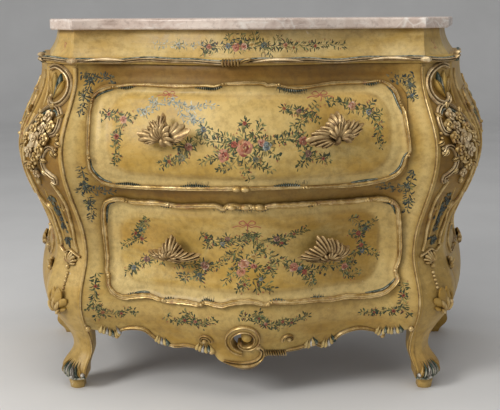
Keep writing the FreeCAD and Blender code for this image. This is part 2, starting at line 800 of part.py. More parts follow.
# ---------------------------------------------------------------- drawers
def drawer_front(level):
    """Drawer front with its lip, and the gilt border that frames it."""
    outline = panel_block(level, "outline", "0")
    plug_block = panel_block(level, "plug", "lip_overlap + opening_gap")
    lip = common(level + "_lip", lip_slab, outline)
    plug = common(level + "_plug", plug_slab, plug_block)
    blank = fused(level + "_front_blank", [lip, plug])
    border_inside = panel_block(level, "border_inside", "border_width")
    ring = cut(level + "_border_ring", outline, border_inside)
    border = common(level + "_border", border_slab, ring)
    node(border, level + "_drawer_border")
    return blank


proud = size("lip_proud")
LIP_JOIN = 1
plug_ahead = proud - LIP_JOIN
lip_slab = shaped("lip_slab", face_slab(proud, proud - size("lip_gap")))
plug_slab = shaped("plug_slab", face_slab(plug_ahead, plug_ahead + size("face_thickness")))
border_slab = shaped("border_slab", face_slab(proud + size("border_height"), size("border_height")))
drawer_room = shaped("drawer_room", face_slab(-size("face_thickness"), 2 * size("case_depth")))

DRAWER_BACK = "(" + INNER_BACK + " - stop_length - stop_gap)"
DRAWER_LENGTH = "(" + DRAWER_BACK + " + " + FAR + ")"


def drawer_board(name, corner, extent):
    """Bound board trimmed to the room behind the curved drawer front."""
    return common(name, drawer_room, box(name + "_blank", corner, extent))


def drawer_box(level):
    half, low, high = BOX_HALF[level], BOX_LOW[level], BOX_HIGH[level]
    inner = "(" + half + " - drawer_side_thickness)"
    bottom_low = "(" + low + " + drawer_bottom_rise)"
    grooved = "(" + inner + " + drawer_groove)"
    bottom = drawer_board(level + "_bottom", ("-" + grooved, "-" + FAR, bottom_low),
                          ("2 * " + grooved, DRAWER_LENGTH, "drawer_bottom_thickness"))
    node(bottom, level + "_drawer_bottom")
    side = drawer_board(level + "_side", (inner, "-" + FAR, low),
                        ("drawer_side_thickness", DRAWER_LENGTH, high + " - " + low))
    pair(cut(level + "_grooved_side", side, bottom), level + "_drawer_side")
    back_low = "(" + bottom_low + " + drawer_bottom_thickness)"
    back = box(level + "_back", ("-" + inner, DRAWER_BACK + " - drawer_side_thickness", back_low),
               ("2 * " + inner, "drawer_side_thickness", high + " - " + back_low))
    node(back, level + "_drawer_back")


def leaf(name, root, length, turns):
    """Bound tapering leaf from its root, pointing along +Z before it is turned about Z, Y and X."""
    piece = doc.addObject("Part::Cone", name)
    piece.Placement = FreeCAD.Placement(Vector(), FreeCAD.Rotation(*turns))
    for axis, formula in zip("xyz", root):
        bind(piece, "Placement.Base." + axis, formula)
    bind(piece, "Radius1", "leaf_root_radius")
    bind(piece, "Radius2", "leaf_tip_radius")
    bind(piece, "Height", length)
    return piece


def ball(name, centre, radius):
    piece = doc.addObject("Part::Sphere", name)
    for axis, formula in zip("xyz", centre):
        bind(piece, "Placement.Base." + axis, formula)
    bind(piece, "Radius", radius)
    return piece


WING_TURN = 76
WING_SWEEP = 9
CREST_LEAN = 8
SEAT = "(bolt_in_handle + lip_proud + face_thickness - seat_depth)"
NUT_START = SEAT + " + washer_thickness"
NUT_END = NUT_START + " + nut_height"
BOLT_PROFILE = (
    ("0", "0"), ("0", "bolt_radius"), (SEAT, "bolt_radius"), (SEAT, "washer_radius"),
    (NUT_START, "washer_radius"), (NUT_START, "nut_radius"), (NUT_END, "nut_radius"), (NUT_END, "0"),
)


def handle_place(level):
    """Formulas of the point where the right handle meets the face of its drawer."""
    height = "((%s + %s) / 2 + handle_rise)" % (LOW[level], HIGH[level])
    return level + "_handle_spread", level + "_handle_face", height


def bolted_front(level):
    """Drawer front with a hole and a flat seat for each handle bolt."""
    middle, face, height = handle_place(level)
    start = face + " - bolt_in_handle"
    hole = cylinder_along_y(level + "_hole", "bolt_radius + bolt_gap", (middle, start, height), SEAT)
    seat_start = (middle, start + " + " + SEAT, height)
    seat = cylinder_along_y(level + "_seat", "seat_radius", seat_start, "seat_radius")
    waste = [hole, seat, mirrored(level + "_hole_mirror", hole), mirrored(level + "_seat_mirror", seat)]
    front = cut(level + "_front", drawer_front(level), group(level + "_holes", waste))
    return node(front, level + "_drawer_front")


def leaf_handle(level, front):
    """Right leaf handle with its bolt: two side leaves, an upright leaf and a ball on a stem."""
    name = level + "_handle"
    middle, face, height = handle_place(level)
    ahead = face + " - handle_stem"
    leaves = [cylinder_along_y(name + "_stem", "handle_stem_radius", (middle, ahead, height),
                               "handle_stem + seat_depth")]
    root = (middle, ahead, height)
    for word, side in (("left", -1), ("right", 1)):
        turns = (handle_turn[level] + side * WING_SWEEP, side * WING_TURN, 0)
        leaves.append(leaf(name + "_wing_" + word, root, "wing_length", turns))
    leaves.append(leaf(name + "_crest", root, "crest_length", (handle_turn[level], 0, CREST_LEAN)))
    boss_middle = (middle, ahead + " - boss_lead", height + " - boss_drop")
    leaves.append(ball(name + "_boss", boss_middle, "boss_radius"))
    bolt = turned_body(name + "_bolt", BOLT_PROFILE)
    for axis, formula in zip("xyz", (middle, face + " - bolt_in_handle", height)):
        bind(bolt, "Placement.Base." + axis, formula)
    return cut_all(name + "_trimmed", fused(name + "_blank", leaves), [front, bolt]), bolt


for level in ("upper", "lower"):
    front = bolted_front(level)
    drawer_box(level)
    handle, bolt = leaf_handle(level, front)
    pair(handle, level + "_drawer_handle")
    node(group(level + "_bolts", [bolt, mirrored(level + "_bolt_mirror", bolt)]), level + "_handle_bolts")

# ---------------------------------------------------------------- cornice, frieze and marble
CROWN_COLUMNS = 16
MITRE_OUT = 0.89
MITRE_BACK = 0.57


def crown_outline(height, grow, back):
    """Outline of the chest above its neck, grown outwards, down to a given setback at the back."""
    half = size("frieze_face")
    front = [at(half * step / CROWN_COLUMNS,
                face_setback(face_half(case_top) * step / CROWN_COLUMNS, case_top) - grow, height)
             for step in range(-CROWN_COLUMNS, CROWN_COLUMNS + 1)]
    curve = Part.BSplineCurve()
    curve.interpolate(front)
    corner_out = corner_half(case_top) + MITRE_OUT * grow
    corner_back = corner_setback(case_top) - MITRE_BACK * grow
    rear_out = side_half(case_top, size("case_depth")) + grow - size("crown_rear_inset")
    corners = [at(corner_out, corner_back, height), at(rear_out, back, height),
               at(-rear_out, back, height), at(-corner_out, corner_back, height)]
    points = [front[-1]] + corners + [front[0]]
    edges = [Part.makeLine(start, stop) for start, stop in zip(points, points[1:])]
    return Part.Wire([curve.toShape()] + edges)


def crown_solid(steps, back):
    """Solid through crown outlines given as (height, outward growth) steps."""
    return Part.makeLoft([crown_outline(height, grow, back) for height, grow in steps], True, True)


ROUND_STEPS = 4
COVE_STEPS = 6


def rounded_edge(low, high, grow, radius):
    """Steps of a slab with both edges rounded."""
    lower = []
    for step in range(ROUND_STEPS + 1):
        angle = math.pi / 2 * step / ROUND_STEPS
        lower.append((radius * (1 - math.cos(angle)), grow - radius * (1 - math.sin(angle))))
    return ([(low + rise, out) for rise, out in lower]
            + [(high - rise, out) for rise, out in reversed(lower)])


def cove(inset):
    """Steps of the hollow frieze, drawn in by a further inset."""
    foot = size("frieze_foot_inset") + inset
    hollow = size("frieze_top_inset") - size("frieze_foot_inset")
    return [(frieze_low + share * size("frieze_height"), -foot - hollow * (1 - (1 - share) ** 2))
            for share in spread(0, 1, COVE_STEPS)]


back_line = size("case_depth")
top_board_steps = [(case_top, -size("top_board_inset")), (frieze_low, -size("top_board_inset"))]
top_board = node(shaped("top_board", crown_solid(top_board_steps, back_line)), "case_top_board")
cornice_steps = rounded_edge(case_top, frieze_low, size("cornice_reach"), size("cornice_round"))
cornice = cut("cornice", shaped("cornice_blank", crown_solid(cornice_steps, back_line)), top_board)
CROWN_HEIGHT = "(cornice_height + frieze_height)"
crown_middle = box("crown_middle", ("-frieze_face", "-" + FAR, CASE_TOP),
                   ("2 * frieze_face", SPAN, CROWN_HEIGHT))
node(common("cornice_front", cornice, crown_middle), "cornice_front")
crown_right = box("crown_right", ("frieze_face", "-" + FAR, CASE_TOP), (FAR, SPAN, CROWN_HEIGHT))
pair(common("cornice_side", cornice, crown_right), "cornice")

frieze_room_steps = cove(size("frieze_thickness"))
frieze_room = shaped("frieze_room", crown_solid(frieze_room_steps, back_line + size("back_thickness")))
frieze = cut("frieze", shaped("frieze_blank", crown_solid(cove(0), back_line)), frieze_room)
node(common("frieze_front", frieze, crown_middle), "frieze_front")
corner_zone = box("corner_zone", ("frieze_face", "-" + FAR, CASE_TOP),
                  (FAR, FAR + " + corner_block_back", CROWN_HEIGHT))
side_zone = box("frieze_side_zone", ("frieze_face", "corner_block_back", CASE_TOP), (FAR, FAR, CROWN_HEIGHT))
pair(common("frieze_corner", frieze, corner_zone), "frieze_corner")
pair(common("frieze_side", frieze, side_zone), "frieze_side")
FRIEZE_LOW = "(" + CASE_TOP + " + cornice_height)"
sub_top_zone = box("sub_top_zone", ACROSS + (FRIEZE_LOW + " + frieze_height - sub_top_thickness",),
                   (SPAN, FAR + " + " + INNER_BACK, "sub_top_thickness"))
node(common("sub_top", frieze_room, sub_top_zone), "sub_top")
frieze_back_zone = box("frieze_back_zone", ("-" + FAR, INNER_BACK, FRIEZE_LOW),
                       (SPAN, "back_thickness", "frieze_height"))
node(common("frieze_back", frieze_room, frieze_back_zone), "frieze_back")
marble_top = frieze_high + size("marble_thickness")
marble_steps = rounded_edge(frieze_high, marble_top, -size("marble_inset"), size("marble_round"))
node(shaped("marble", crown_solid(marble_steps, back_line)), "marble_top")

# ---------------------------------------------------------------- check and write
doc.recompute()
for piece in doc.Objects:
    if "Invalid" in piece.State or "Error" in piece.State:
        raise RuntimeError("%s failed: %s" % (piece.Name, piece.State))
for piece in nodes:
    if piece.Shape.isNull() or not piece.Shape.isValid() or not piece.Shape.Solids:
        raise RuntimeError(piece.Label + " has no valid solid")

os.makedirs("parts", exist_ok=True)
for piece in nodes:
    piece.Shape.exportStep("parts/" + piece.Label + ".step")
    bounds = piece.Shape.BoundBox
    print("%-28s solids %d  volume %9.0f  x %.1f..%.1f  y %.1f..%.1f  z %.1f..%.1f" % (
        piece.Label, len(piece.Shape.Solids), piece.Shape.Volume,
        bounds.XMin, bounds.XMax, bounds.YMin, bounds.YMax, bounds.ZMin, bounds.ZMax))
print(len(nodes), "nodes")
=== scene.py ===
"""Painted and gilded bombe chest: the looks of every visible piece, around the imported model.

Metres, in the model's own frame: +X to the right, +Z up, and the drawers open towards -Y.
Ornament is laid on grounds. A ground is a function of two coordinates along a surface that gives
the points of that surface, and a lift is a height above it.
"""

import math
from functools import partial

import bmesh
import bpy
import numpy as np
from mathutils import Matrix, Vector, geometry


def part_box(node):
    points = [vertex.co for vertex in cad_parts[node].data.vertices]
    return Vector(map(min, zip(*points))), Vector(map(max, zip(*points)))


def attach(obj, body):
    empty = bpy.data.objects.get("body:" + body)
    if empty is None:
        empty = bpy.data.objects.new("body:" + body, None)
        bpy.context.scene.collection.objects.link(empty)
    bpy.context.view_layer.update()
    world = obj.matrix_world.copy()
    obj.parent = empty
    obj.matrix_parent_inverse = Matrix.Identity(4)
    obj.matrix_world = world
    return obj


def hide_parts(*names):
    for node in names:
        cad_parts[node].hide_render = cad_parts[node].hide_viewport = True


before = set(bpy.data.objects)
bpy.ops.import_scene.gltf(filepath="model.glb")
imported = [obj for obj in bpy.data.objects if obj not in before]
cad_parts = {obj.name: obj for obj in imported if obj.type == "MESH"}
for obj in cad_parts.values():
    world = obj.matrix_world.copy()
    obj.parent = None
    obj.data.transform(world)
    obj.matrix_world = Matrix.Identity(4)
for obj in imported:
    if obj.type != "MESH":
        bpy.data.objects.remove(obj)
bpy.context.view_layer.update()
rng = np.random.default_rng(7)
MM = 0.001

# ---------------------------------------------------------------- the swelling profile
# The heights where the profile turns. At each of them: half the painted front's width, half the
# width over the posts' outer edges, and how far a post reaches back along the side.
LEVELS = np.array((0, 46, 104, 236, 362, 608, 800)) * MM
FACE = np.array((418, 412, 398, 411, 396, 433, 401)) * MM
CORNER = np.array((458, 482, 453, 512, 484, 550, 487)) * MM
RETURN = np.array((12, 12, 10, 45, 45, 45, 45)) * MM
# Plan of the case: the posts' middle lines, the front's bow, the depth, the sides' splay and bow.
CORNER_CENTRE = 444 * MM
FRONT_BOW = 75 * MM
CASE_DEPTH = 455 * MM
SPLAY = 105 * MM
SIDE_BOW = 9 * MM
FORWARD_SWELL = 0.9
CORNER_CANT = 0.8
CREST_SHARE = 0.8
# The back of the case in the frame, and the line of the front feet.
BACK_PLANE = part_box("back_board_upper")[1].y
FEET_LINE = BACK_PLANE - CASE_DEPTH
# Heights of the drawer openings, the case and the frieze.
LOWER_LOW, LOWER_HIGH = 264 * MM, 496 * MM
UPPER_LOW, UPPER_HIGH = 538 * MM, 775 * MM
CASE_TOP, FRIEZE_LOW, FRIEZE_HIGH = 816 * MM, 833 * MM, 895 * MM
FRIEZE_FACE = 411 * MM
# How far a drawer's lip stands proud of the front.
PROUD = 8 * MM
# The frieze's setback, how much further its cove draws in, and the way its corners grow.
FRIEZE_SETBACK, FRIEZE_COVE = 9 * MM, 25 * MM
FRIEZE_POINTS = 61
MITRE = (0.89, 0.57)
REAR_INSET = 10 * MM
# Where the canted face's ridge runs, and where and how much the face swells.
RIDGE_SHARE = 0.44
LEG_TOP, LEG_BLEND = 0.30, 0.10
POST_ROUNDING, LEG_ROUNDING, LEG_RIDGE = 0.004, 0.003, 0.010
# Steps and tolerances of the curves and sheets.
PROBE = 0.0002
STEP = 3 * MM
SPAN_POINTS = 14
TINY = 1e-9
CHUNK = 4000
DIRECTIONS = 900


def blend(height, values):
    """Profile value at each height: half a cosine wave joins each turn to the next."""
    height = np.clip(np.asarray(height, float), LEVELS[0], LEVELS[-1])
    span = np.clip(np.searchsorted(LEVELS, height) - 1, 0, len(LEVELS) - 2)
    share = (height - LEVELS[span]) / (LEVELS[span + 1] - LEVELS[span])
    return values[span] + (values[span + 1] - values[span]) * (1 - np.cos(np.pi * share)) / 2


def post_middle(height):
    """Setback of the posts' middle line, negative where the case swells forward."""
    outward = (blend(height, FACE) + blend(height, CORNER)) / 2 - CORNER_CENTRE
    return -FORWARD_SWELL * outward


def cant_half(height):
    """Half the setback from the inner edge of a post's canted face to its outer edge."""
    return CORNER_CANT * (blend(height, CORNER) - blend(height, FACE)) / 2


def serpentine(share):
    """Bow of the front as a share, from 1 in the middle through a hollow to 0 at the posts."""
    end = (1 + math.cos(math.pi / CREST_SHARE)) / 2
    wave = (1 + np.cos(np.pi * np.minimum(np.abs(share), 1) / CREST_SHARE)) / 2
    return (wave - end) / (1 - end)


def face_y(across, height):
    """The painted front's y."""
    edge = post_middle(height) - cant_half(height)
    return FEET_LINE + edge - FRONT_BOW * serpentine(across / blend(height, FACE))


def corner_setback(height):
    """Setback of the outer edge of a post's canted face behind the line of the feet."""
    return post_middle(height) + cant_half(height)


def side_half(height, setback):
    """Half the case's width at a height and a setback."""
    start = corner_setback(height)
    share = (setback - start) / (CASE_DEPTH - start)
    return blend(height, CORNER) + SPLAY * share + SIDE_BOW * np.sin(np.pi * share)


# ---------------------------------------------------------------- grounds
def front(across, height):
    """The painted front."""
    return np.stack([across, face_y(across, height), height], -1)


def cant_width(height):
    """Width of a post's canted face."""
    return (blend(height, CORNER) - blend(height, FACE)) * math.hypot(1, CORNER_CANT)


def cant_swell(share, height):
    """How far the canted post face swells: gently rounded above, ridged down the leg."""
    leg = np.clip((LEG_TOP - height) / LEG_BLEND, 0, 1)
    ridge = 1 - np.where(share < RIDGE_SHARE, (RIDGE_SHARE - share) / RIDGE_SHARE,
                         (share - RIDGE_SHARE) / (1 - RIDGE_SHARE))
    round_face = 1 - (2 * share - 1) ** 2
    return POST_ROUNDING * round_face * (1 - leg) + leg * (LEG_RIDGE * ridge + LEG_ROUNDING * round_face)


def cant(along, height):
    """The right post's canted face: metres outward from its middle line, and height."""
    share = 0.5 + along / cant_width(height)
    inner, outer = blend(height, FACE), blend(height, CORNER)
    swell = cant_swell(np.clip(share, 0, 1), height)
    slope = math.hypot(1, CORNER_CANT)
    x = inner + (outer - inner) * share + swell * CORNER_CANT / slope
    y = FEET_LINE + post_middle(height) + cant_half(height) * (2 * share - 1) - swell / slope
    return np.stack([x, y, height], -1)


def side(setback, height):
    """The right side of the case: setback behind the line of the feet, and height."""
    return np.stack([side_half(height, setback), FEET_LINE + setback, height], -1)


def run_along(line):
    """How far along a line each of its points is."""
    return np.concatenate([[0], np.cumsum(np.linalg.norm(np.diff(line, axis=0), axis=1))])


def crown_lines():
    """Base outline of the crown, from back left round the front to back right, its growth and its run."""
    across = np.linspace(-FRIEZE_FACE, FRIEZE_FACE, FRIEZE_POINTS)
    reach = blend(CASE_TOP, FACE) / FRIEZE_FACE
    y = face_y(across * reach, np.full(across.shape, CASE_TOP))
    corner = (float(blend(CASE_TOP, CORNER)), FEET_LINE + float(corner_setback(CASE_TOP)))
    rear = float(side_half(CASE_TOP, CASE_DEPTH)) - REAR_INSET
    base = [(-rear, BACK_PLANE), (-corner[0], corner[1]), *zip(across, y), corner, (rear, BACK_PLANE)]
    out, ahead = MITRE
    growth = [(-1, 0), (-out, -ahead)] + [(0, -1)] * len(across) + [(out, -ahead), (1, 0)]
    base = np.array(base)
    run = run_along(base)
    return base, np.array(growth, float), run - run[-1] / 2


CROWN_BASE, CROWN_GROWTH, CROWN_RUN = crown_lines()
CROWN_END = CROWN_RUN[-1]


def crown(grow):
    """The vertical band of the crown, grown outwards: metres round it from the middle, and height."""
    def ground(along, height):
        out = grow(height) if callable(grow) else grow
        x, y = (np.interp(along, CROWN_RUN, base) + out * np.interp(along, CROWN_RUN, growth)
                for base, growth in zip(CROWN_BASE.T, CROWN_GROWTH.T))
        return np.stack([x, y, height], -1)
    return ground


def frieze_growth(height):
    """How far the frieze stands out from the crown's base: a cove that draws in towards the marble."""
    share = np.clip((height - FRIEZE_LOW) / (FRIEZE_HIGH - FRIEZE_LOW), 0, 1)
    return -(FRIEZE_SETBACK + FRIEZE_COVE * (1 - (1 - share) ** 2))


frieze = crown(frieze_growth)


def on(ground, places, lift=0.0):
    """Points over a ground at the given places, lifted square to it."""
    a, b = places[..., 0], places[..., 1]
    here = ground(a, b)
    run = ground(a + PROBE, b) - here
    rise = ground(a, b + PROBE) - here
    normal = np.cross(run, rise)
    normal /= np.linalg.norm(normal, axis=-1, keepdims=True)
    return here + normal * np.asarray(lift)[..., None]


# ---------------------------------------------------------------- curves and outlines
def smooth(points, step=STEP, closed=False):
    """Even points, about a step apart, on a centripetal curve through points in millimetres."""
    p = np.array(points, float) * MM
    if closed:
        p = np.vstack([p[-1], p, p[0], p[1]])
    else:
        p = np.vstack([2 * p[0] - p[1], p, 2 * p[-1] - p[-2]])
    curve = []
    for a, b, c, d in zip(p, p[1:], p[2:], p[3:]):
        t1 = math.sqrt(np.linalg.norm(b - a))
        t2 = t1 + math.sqrt(np.linalg.norm(c - b))
        t3 = t2 + math.sqrt(np.linalg.norm(d - c))
        t = np.linspace(t1, t2, SPAN_POINTS, endpoint=False)[:, None]
        a1 = (t1 - t) / t1 * a + t / t1 * b
        a2 = (t2 - t) / (t2 - t1) * b + (t - t1) / (t2 - t1) * c
        a3 = (t3 - t) / (t3 - t2) * c + (t - t2) / (t3 - t2) * d
        b1 = (t2 - t) / t2 * a1 + t / t2 * a2
        b2 = (t3 - t) / (t3 - t1) * a2 + (t - t1) / (t3 - t1) * a3
        curve.append((t2 - t) / (t2 - t1) * b1 + (t - t1) / (t2 - t1) * b2)
    curve = np.vstack(curve + [p[-2][None]])
    return even(curve, step, closed)


def even(curve, step=STEP, closed=False):
    """Points about a step apart along a curve."""
    run = run_along(curve)
    count = max(3, round(run[-1] / step))
    places = np.linspace(0, run[-1], count + 1)
    points = np.stack([np.interp(places, run, curve[:, i]) for i in range(curve.shape[1])], -1)
    return points[:-1] if closed else points


def rounded_rectangle(half, low, high, radius):
    """Closed outline of a rectangle with rounded corners, clockwise from the top."""
    points = []
    for sx, z, turn in ((1, high, 90), (1, low, 0), (-1, low, -90), (-1, high, -180)):
        centre = (sx * (half - radius), z - radius if z == high else z + radius)
        for angle in np.radians(np.linspace(turn, turn - 90, 12)):
            points.append((centre[0] + radius * math.cos(angle), centre[1] + radius * math.sin(angle)))
    points.append(points[0])
    return even(np.array(points), closed=True)


def inside(points, outline):
    """Which points an outline encloses: a ray from each crosses it an odd number of times."""
    a, b = outline, np.roll(outline, -1, 0)
    x, y = points[:, 0, None], points[:, 1, None]
    crosses = (a[:, 1] > y) != (b[:, 1] > y)
    height = np.where(b[:, 1] == a[:, 1], TINY, b[:, 1] - a[:, 1])
    return (crosses & (x < (b[:, 0] - a[:, 0]) * (y - a[:, 1]) / height + a[:, 0])).sum(1) % 2 == 1


def within(points, outline, holes):
    """Which points lie inside an outline and outside its holes."""
    keep = inside(points, outline)
    for hole in holes:
        keep &= ~inside(points, hole)
    return keep


def distance(points, *outlines):
    """Distance of each point to the nearest of some closed outlines."""
    best = np.full(len(points), np.inf)
    for outline in outlines:
        d = np.roll(outline, -1, 0) - outline
        length = np.maximum((d ** 2).sum(1), TINY ** 2)
        for chunk in range(0, len(points), CHUNK):
            p = points[chunk:chunk + CHUNK, None]
            t = np.clip(((p - outline) * d).sum(2) / length, 0, 1)
            near = np.linalg.norm(p - (outline + t[..., None] * d), axis=2).min(1)
            best[chunk:chunk + CHUNK] = np.minimum(best[chunk:chunk + CHUNK], near)
    return best


def towards(turn):
    """Unit steps in the given directions, in radians."""
    return np.stack([np.cos(turn), np.sin(turn)], -1)


def union(one, other):
    """Outline round both of two outlines about the same middle."""
    middle = (one.min(0) + one.max(0)) / 2
    turns = np.linspace(-np.pi, np.pi, DIRECTIONS, endpoint=False)
    reach = []
    for outline in (one, other):
        d = outline - middle
        angle = np.arctan2(d[:, 1], d[:, 0])
        order = np.argsort(angle)
        reach.append(np.interp(turns, angle[order], np.hypot(*d[order].T), period=2 * np.pi))
    points = middle + np.maximum(*reach)[:, None] * towards(turns)
    return even(np.vstack([points, points[:1]]), closed=True)


def arc(centre, radius, start, stop):
    """Arc in degrees, anticlockwise when stop is larger; radius may be a (start, stop) pair."""
    first, last = radius if isinstance(radius, tuple) else (radius, radius)
    count = max(6, int(abs(math.radians(stop - start)) * max(first, last) / (2 * MM)))
    reach = np.linspace(first, last, count)
    return np.array(centre) + reach[:, None] * towards(np.radians(np.linspace(start, stop, count)))


# ---------------------------------------------------------------- building meshes
def put(name, data):
    """New object in the scene."""
    piece = bpy.data.objects.new(name, data)
    bpy.context.scene.collection.objects.link(piece)
    return piece


def side_word(sign):
    """Which side a sign stands for, as the names of the pieces have it."""
    return "left" if sign < 0 else "right"


CARVED_ANGLE = 40


class Heap:
    """Parts of one visible piece, gathered into one mesh."""

    def __init__(self, name, body, slot, finishes, replaces=()):
        self.name, self.body, self.slot = name, body, slot
        self.finishes, self.replaces = finishes, replaces
        self.points, self.faces, self.kinds, self.masks, self.tints = [], [], [], [], []
        self.count = 0

    def add(self, points, faces, finish, mask, tint=(0, 0, 0)):
        """Adds points and faces. Mask: tone, rim and painted highlight, painted shade. Tint: a brush colour.
        """
        points = np.asarray(points, float).reshape(-1, 3)
        self.points.append(points)
        self.faces += [tuple(int(i) + self.count for i in face) for face in faces]
        self.kinds += [self.finishes.index(finish)] * len(faces)
        for values, value in ((self.masks, mask), (self.tints, tint)):
            values.append(np.broadcast_to(np.asarray(value, float), (len(points), 3)))
        self.count += len(points)

    def mirror(self):
        """Turns what is there into its mirror image across the middle plane."""
        self.points = [p * (-1, 1, 1) for p in self.points]
        self.faces = [face[::-1] for face in self.faces]

    def make(self, angle=CARVED_ANGLE):
        """Makes the mesh and hands it to its body; edges sharper than the angle stay sharp."""
        mesh = bpy.data.meshes.new(self.name)
        mesh.from_pydata(np.vstack(self.points).tolist(), [], self.faces)
        shell = bmesh.new()
        shell.from_mesh(mesh)
        bmesh.ops.recalc_face_normals(shell, faces=shell.faces)
        shell.to_mesh(mesh)
        shell.free()
        for finish in self.finishes:
            mesh.materials.append(finish)
        mesh.polygons.foreach_set("material_index", self.kinds)
        for name, values in (("mask", self.masks), ("tint", self.tints)):
            layer = mesh.color_attributes.new(name, "FLOAT_COLOR", "POINT")
            colours = np.ones((self.count, 4), np.float32)
            colours[:, :3] = np.vstack(values)
            layer.data.foreach_set("color", colours.ravel())
        mesh.shade_smooth()
        mesh.set_sharp_from_angle(angle=math.radians(angle))
        piece = put(self.name, mesh)
        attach(piece, self.body)
        if self.replaces:
            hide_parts(*self.replaces)


def grid_faces(rows, columns, wrap_rows=False, wrap_columns=True):
    """Quads between the points of a grid stored row after row."""
    faces = []
    for row in range(rows if wrap_rows else rows - 1):
        below = (row + 1) % rows
        for column in range(columns if wrap_columns else columns - 1):
            right = (column + 1) % columns
            faces.append((row * columns + column, below * columns + column,
                          below * columns + right, row * columns + right))
    return faces


# Cross-sections of a strip: shares of its half width, and of its height.
HALF_TURN = np.linspace(np.pi, 0, 7)
ROUND = towards(HALF_TURN)
KEEL = np.array([(-1, 0), (-0.7, 0.45), (-0.3, 0.8), (0, 1), (0.3, 0.8), (0.7, 0.45), (1, 0)])
VEINED = np.array([(-1, 0.1), (-0.75, 0.75), (-0.35, 1), (0, 0.5), (0.35, 1), (0.75, 0.75), (1, 0.1)])
PAIR = np.array([(-1, 0), (-0.93, 0.55), (-0.68, 0.9), (-0.4, 0.8), (-0.2, 0.3), (0, 0.35),
                 (0.2, 0.6), (0.5, 0.75), (0.8, 0.55), (1, 0)])
STROKE = np.array([(-1, 0), (0, 1), (1, 0)])


def unit(vectors):
    """The same directions at length 1."""
    return vectors / np.maximum(np.linalg.norm(vectors, axis=1, keepdims=True), TINY)


def aside(vectors):
    """The same vectors turned a quarter clockwise."""
    return np.stack([vectors[:, 1], -vectors[:, 0]], -1)


def ribbon(heap, ground, path, width, height, finish, profile=ROUND, base=0.0, under=1 * MM,
           closed=False, tint=(0, 0, 0), rim=0.0):
    """Raised strip along a path on a ground. Width, height and base may change along it."""
    path = np.asarray(path, float)
    tangent = np.roll(path, -1, 0) - np.roll(path, 1, 0) if closed else np.gradient(path, axis=0)
    rows = len(path)
    width, height, base = (np.broadcast_to(np.asarray(value, float), rows) for value in (width, height, base))
    places = path[:, None] + aside(unit(tangent))[:, None] * profile[None, :, :1] * width[:, None, None] / 2
    lift = base[:, None] + profile[None, :, 1] * height[:, None]
    places = np.concatenate([places, places[:, [-1, 0]]], 1)
    lift = np.concatenate([lift, np.repeat((base - under)[:, None], 2, 1)], 1)
    columns = places.shape[1]
    faces = grid_faces(rows, columns, wrap_rows=closed)
    if not closed:
        faces.append(tuple(range(columns)))
        faces.append(tuple((rows - 1) * columns + i for i in reversed(range(columns))))
    mask = np.zeros((rows, columns, 3))
    mask[:, :len(profile), 0] = profile[None, :, 1] * np.minimum(1, height / (height.max() + TINY))[:, None]
    mask[..., 1] = rim
    heap.add(on(ground, places, lift), faces, finish, mask.reshape(-1, 3), tint)


def bend_path(root, tip, bend, count):
    """Curve from root to tip that bows sideways by a share of its length."""
    root, tip = np.asarray(root, float), np.asarray(tip, float)
    d = tip - root
    middle = (root + tip) / 2 + bend * np.array((-d[1], d[0]))
    t = np.linspace(0, 1, count)[:, None]
    return (1 - t) ** 2 * root + 2 * t * (1 - t) * middle + t ** 2 * tip


def lens(count, end=0.03):
    """Shares along a strip that swells from narrow ends to 1 in the middle."""
    return np.sqrt(np.sin(np.pi * np.clip(np.linspace(0, 1, count), end, 1 - end)))


def leaf(heap, ground, root, tip, width, height, finish, bend=0.0, belly=0.5, base=0.0, under=1 * MM,
         profile=VEINED, count=8, rim=0.0):
    """Leaf or petal from its root to its tip; belly is where along it the leaf is widest."""
    t = np.linspace(0, 1, count)
    shape = np.sin(np.pi * np.clip(t, 0.02, 0.98) ** (math.log(0.5) / math.log(belly)))
    ribbon(heap, ground, bend_path(root, tip, bend, count), width * shape, height * np.sqrt(shape), finish,
           profile, base, under, rim=rim)


def knob(heap, ground, centre, radius, rise, finish, base=0.0, stretch=1.0):
    """Rounded button on a ground."""
    turn = np.linspace(0.06, np.pi - 0.06, 7)
    path = np.array(centre) + np.stack([-radius * stretch * np.cos(turn), 0 * turn], -1)
    ribbon(heap, ground, path, 2 * radius * np.sin(turn), rise * np.sin(turn), finish, ROUND, base)


ROW_SHARE = 0.87
EDGE_CLEARANCE = 0.45
WELD = 1e-7


def lattice(outline, holes, spacing):
    """Staggered rows of points that fill an outline, clear of its edges."""
    low, high = outline.min(0), outline.max(0)
    cells = []
    for index, row in enumerate(np.arange(low[1], high[1], spacing * ROW_SHARE)):
        columns = np.arange(low[0] + (index % 2) * spacing / 2, high[0], spacing)
        cells.append(np.stack([columns, np.full(columns.shape, row)], -1))
    cells = np.vstack(cells)
    cells = cells[within(cells, outline, holes)]
    return cells[distance(cells, outline, *holes) > spacing * EDGE_CLEARANCE]


def triangulate(outline, holes, spacing):
    """Places and triangles that cover an outline but not its holes."""
    loops = [outline, *holes]
    edges, start = [], 0
    for loop in loops:
        edges += [(start + i, start + (i + 1) % len(loop)) for i in range(len(loop))]
        start += len(loop)
    places = np.vstack([*loops, lattice(outline, holes, spacing)])
    result = geometry.delaunay_2d_cdt([Vector(p) for p in places.tolist()], edges, [], 0, WELD)
    places = np.array([tuple(p) for p in result[0]])
    triangles = np.array([face for face in result[2] if len(face) == 3])
    return places, triangles[within(places[triangles].mean(1), outline, holes)]


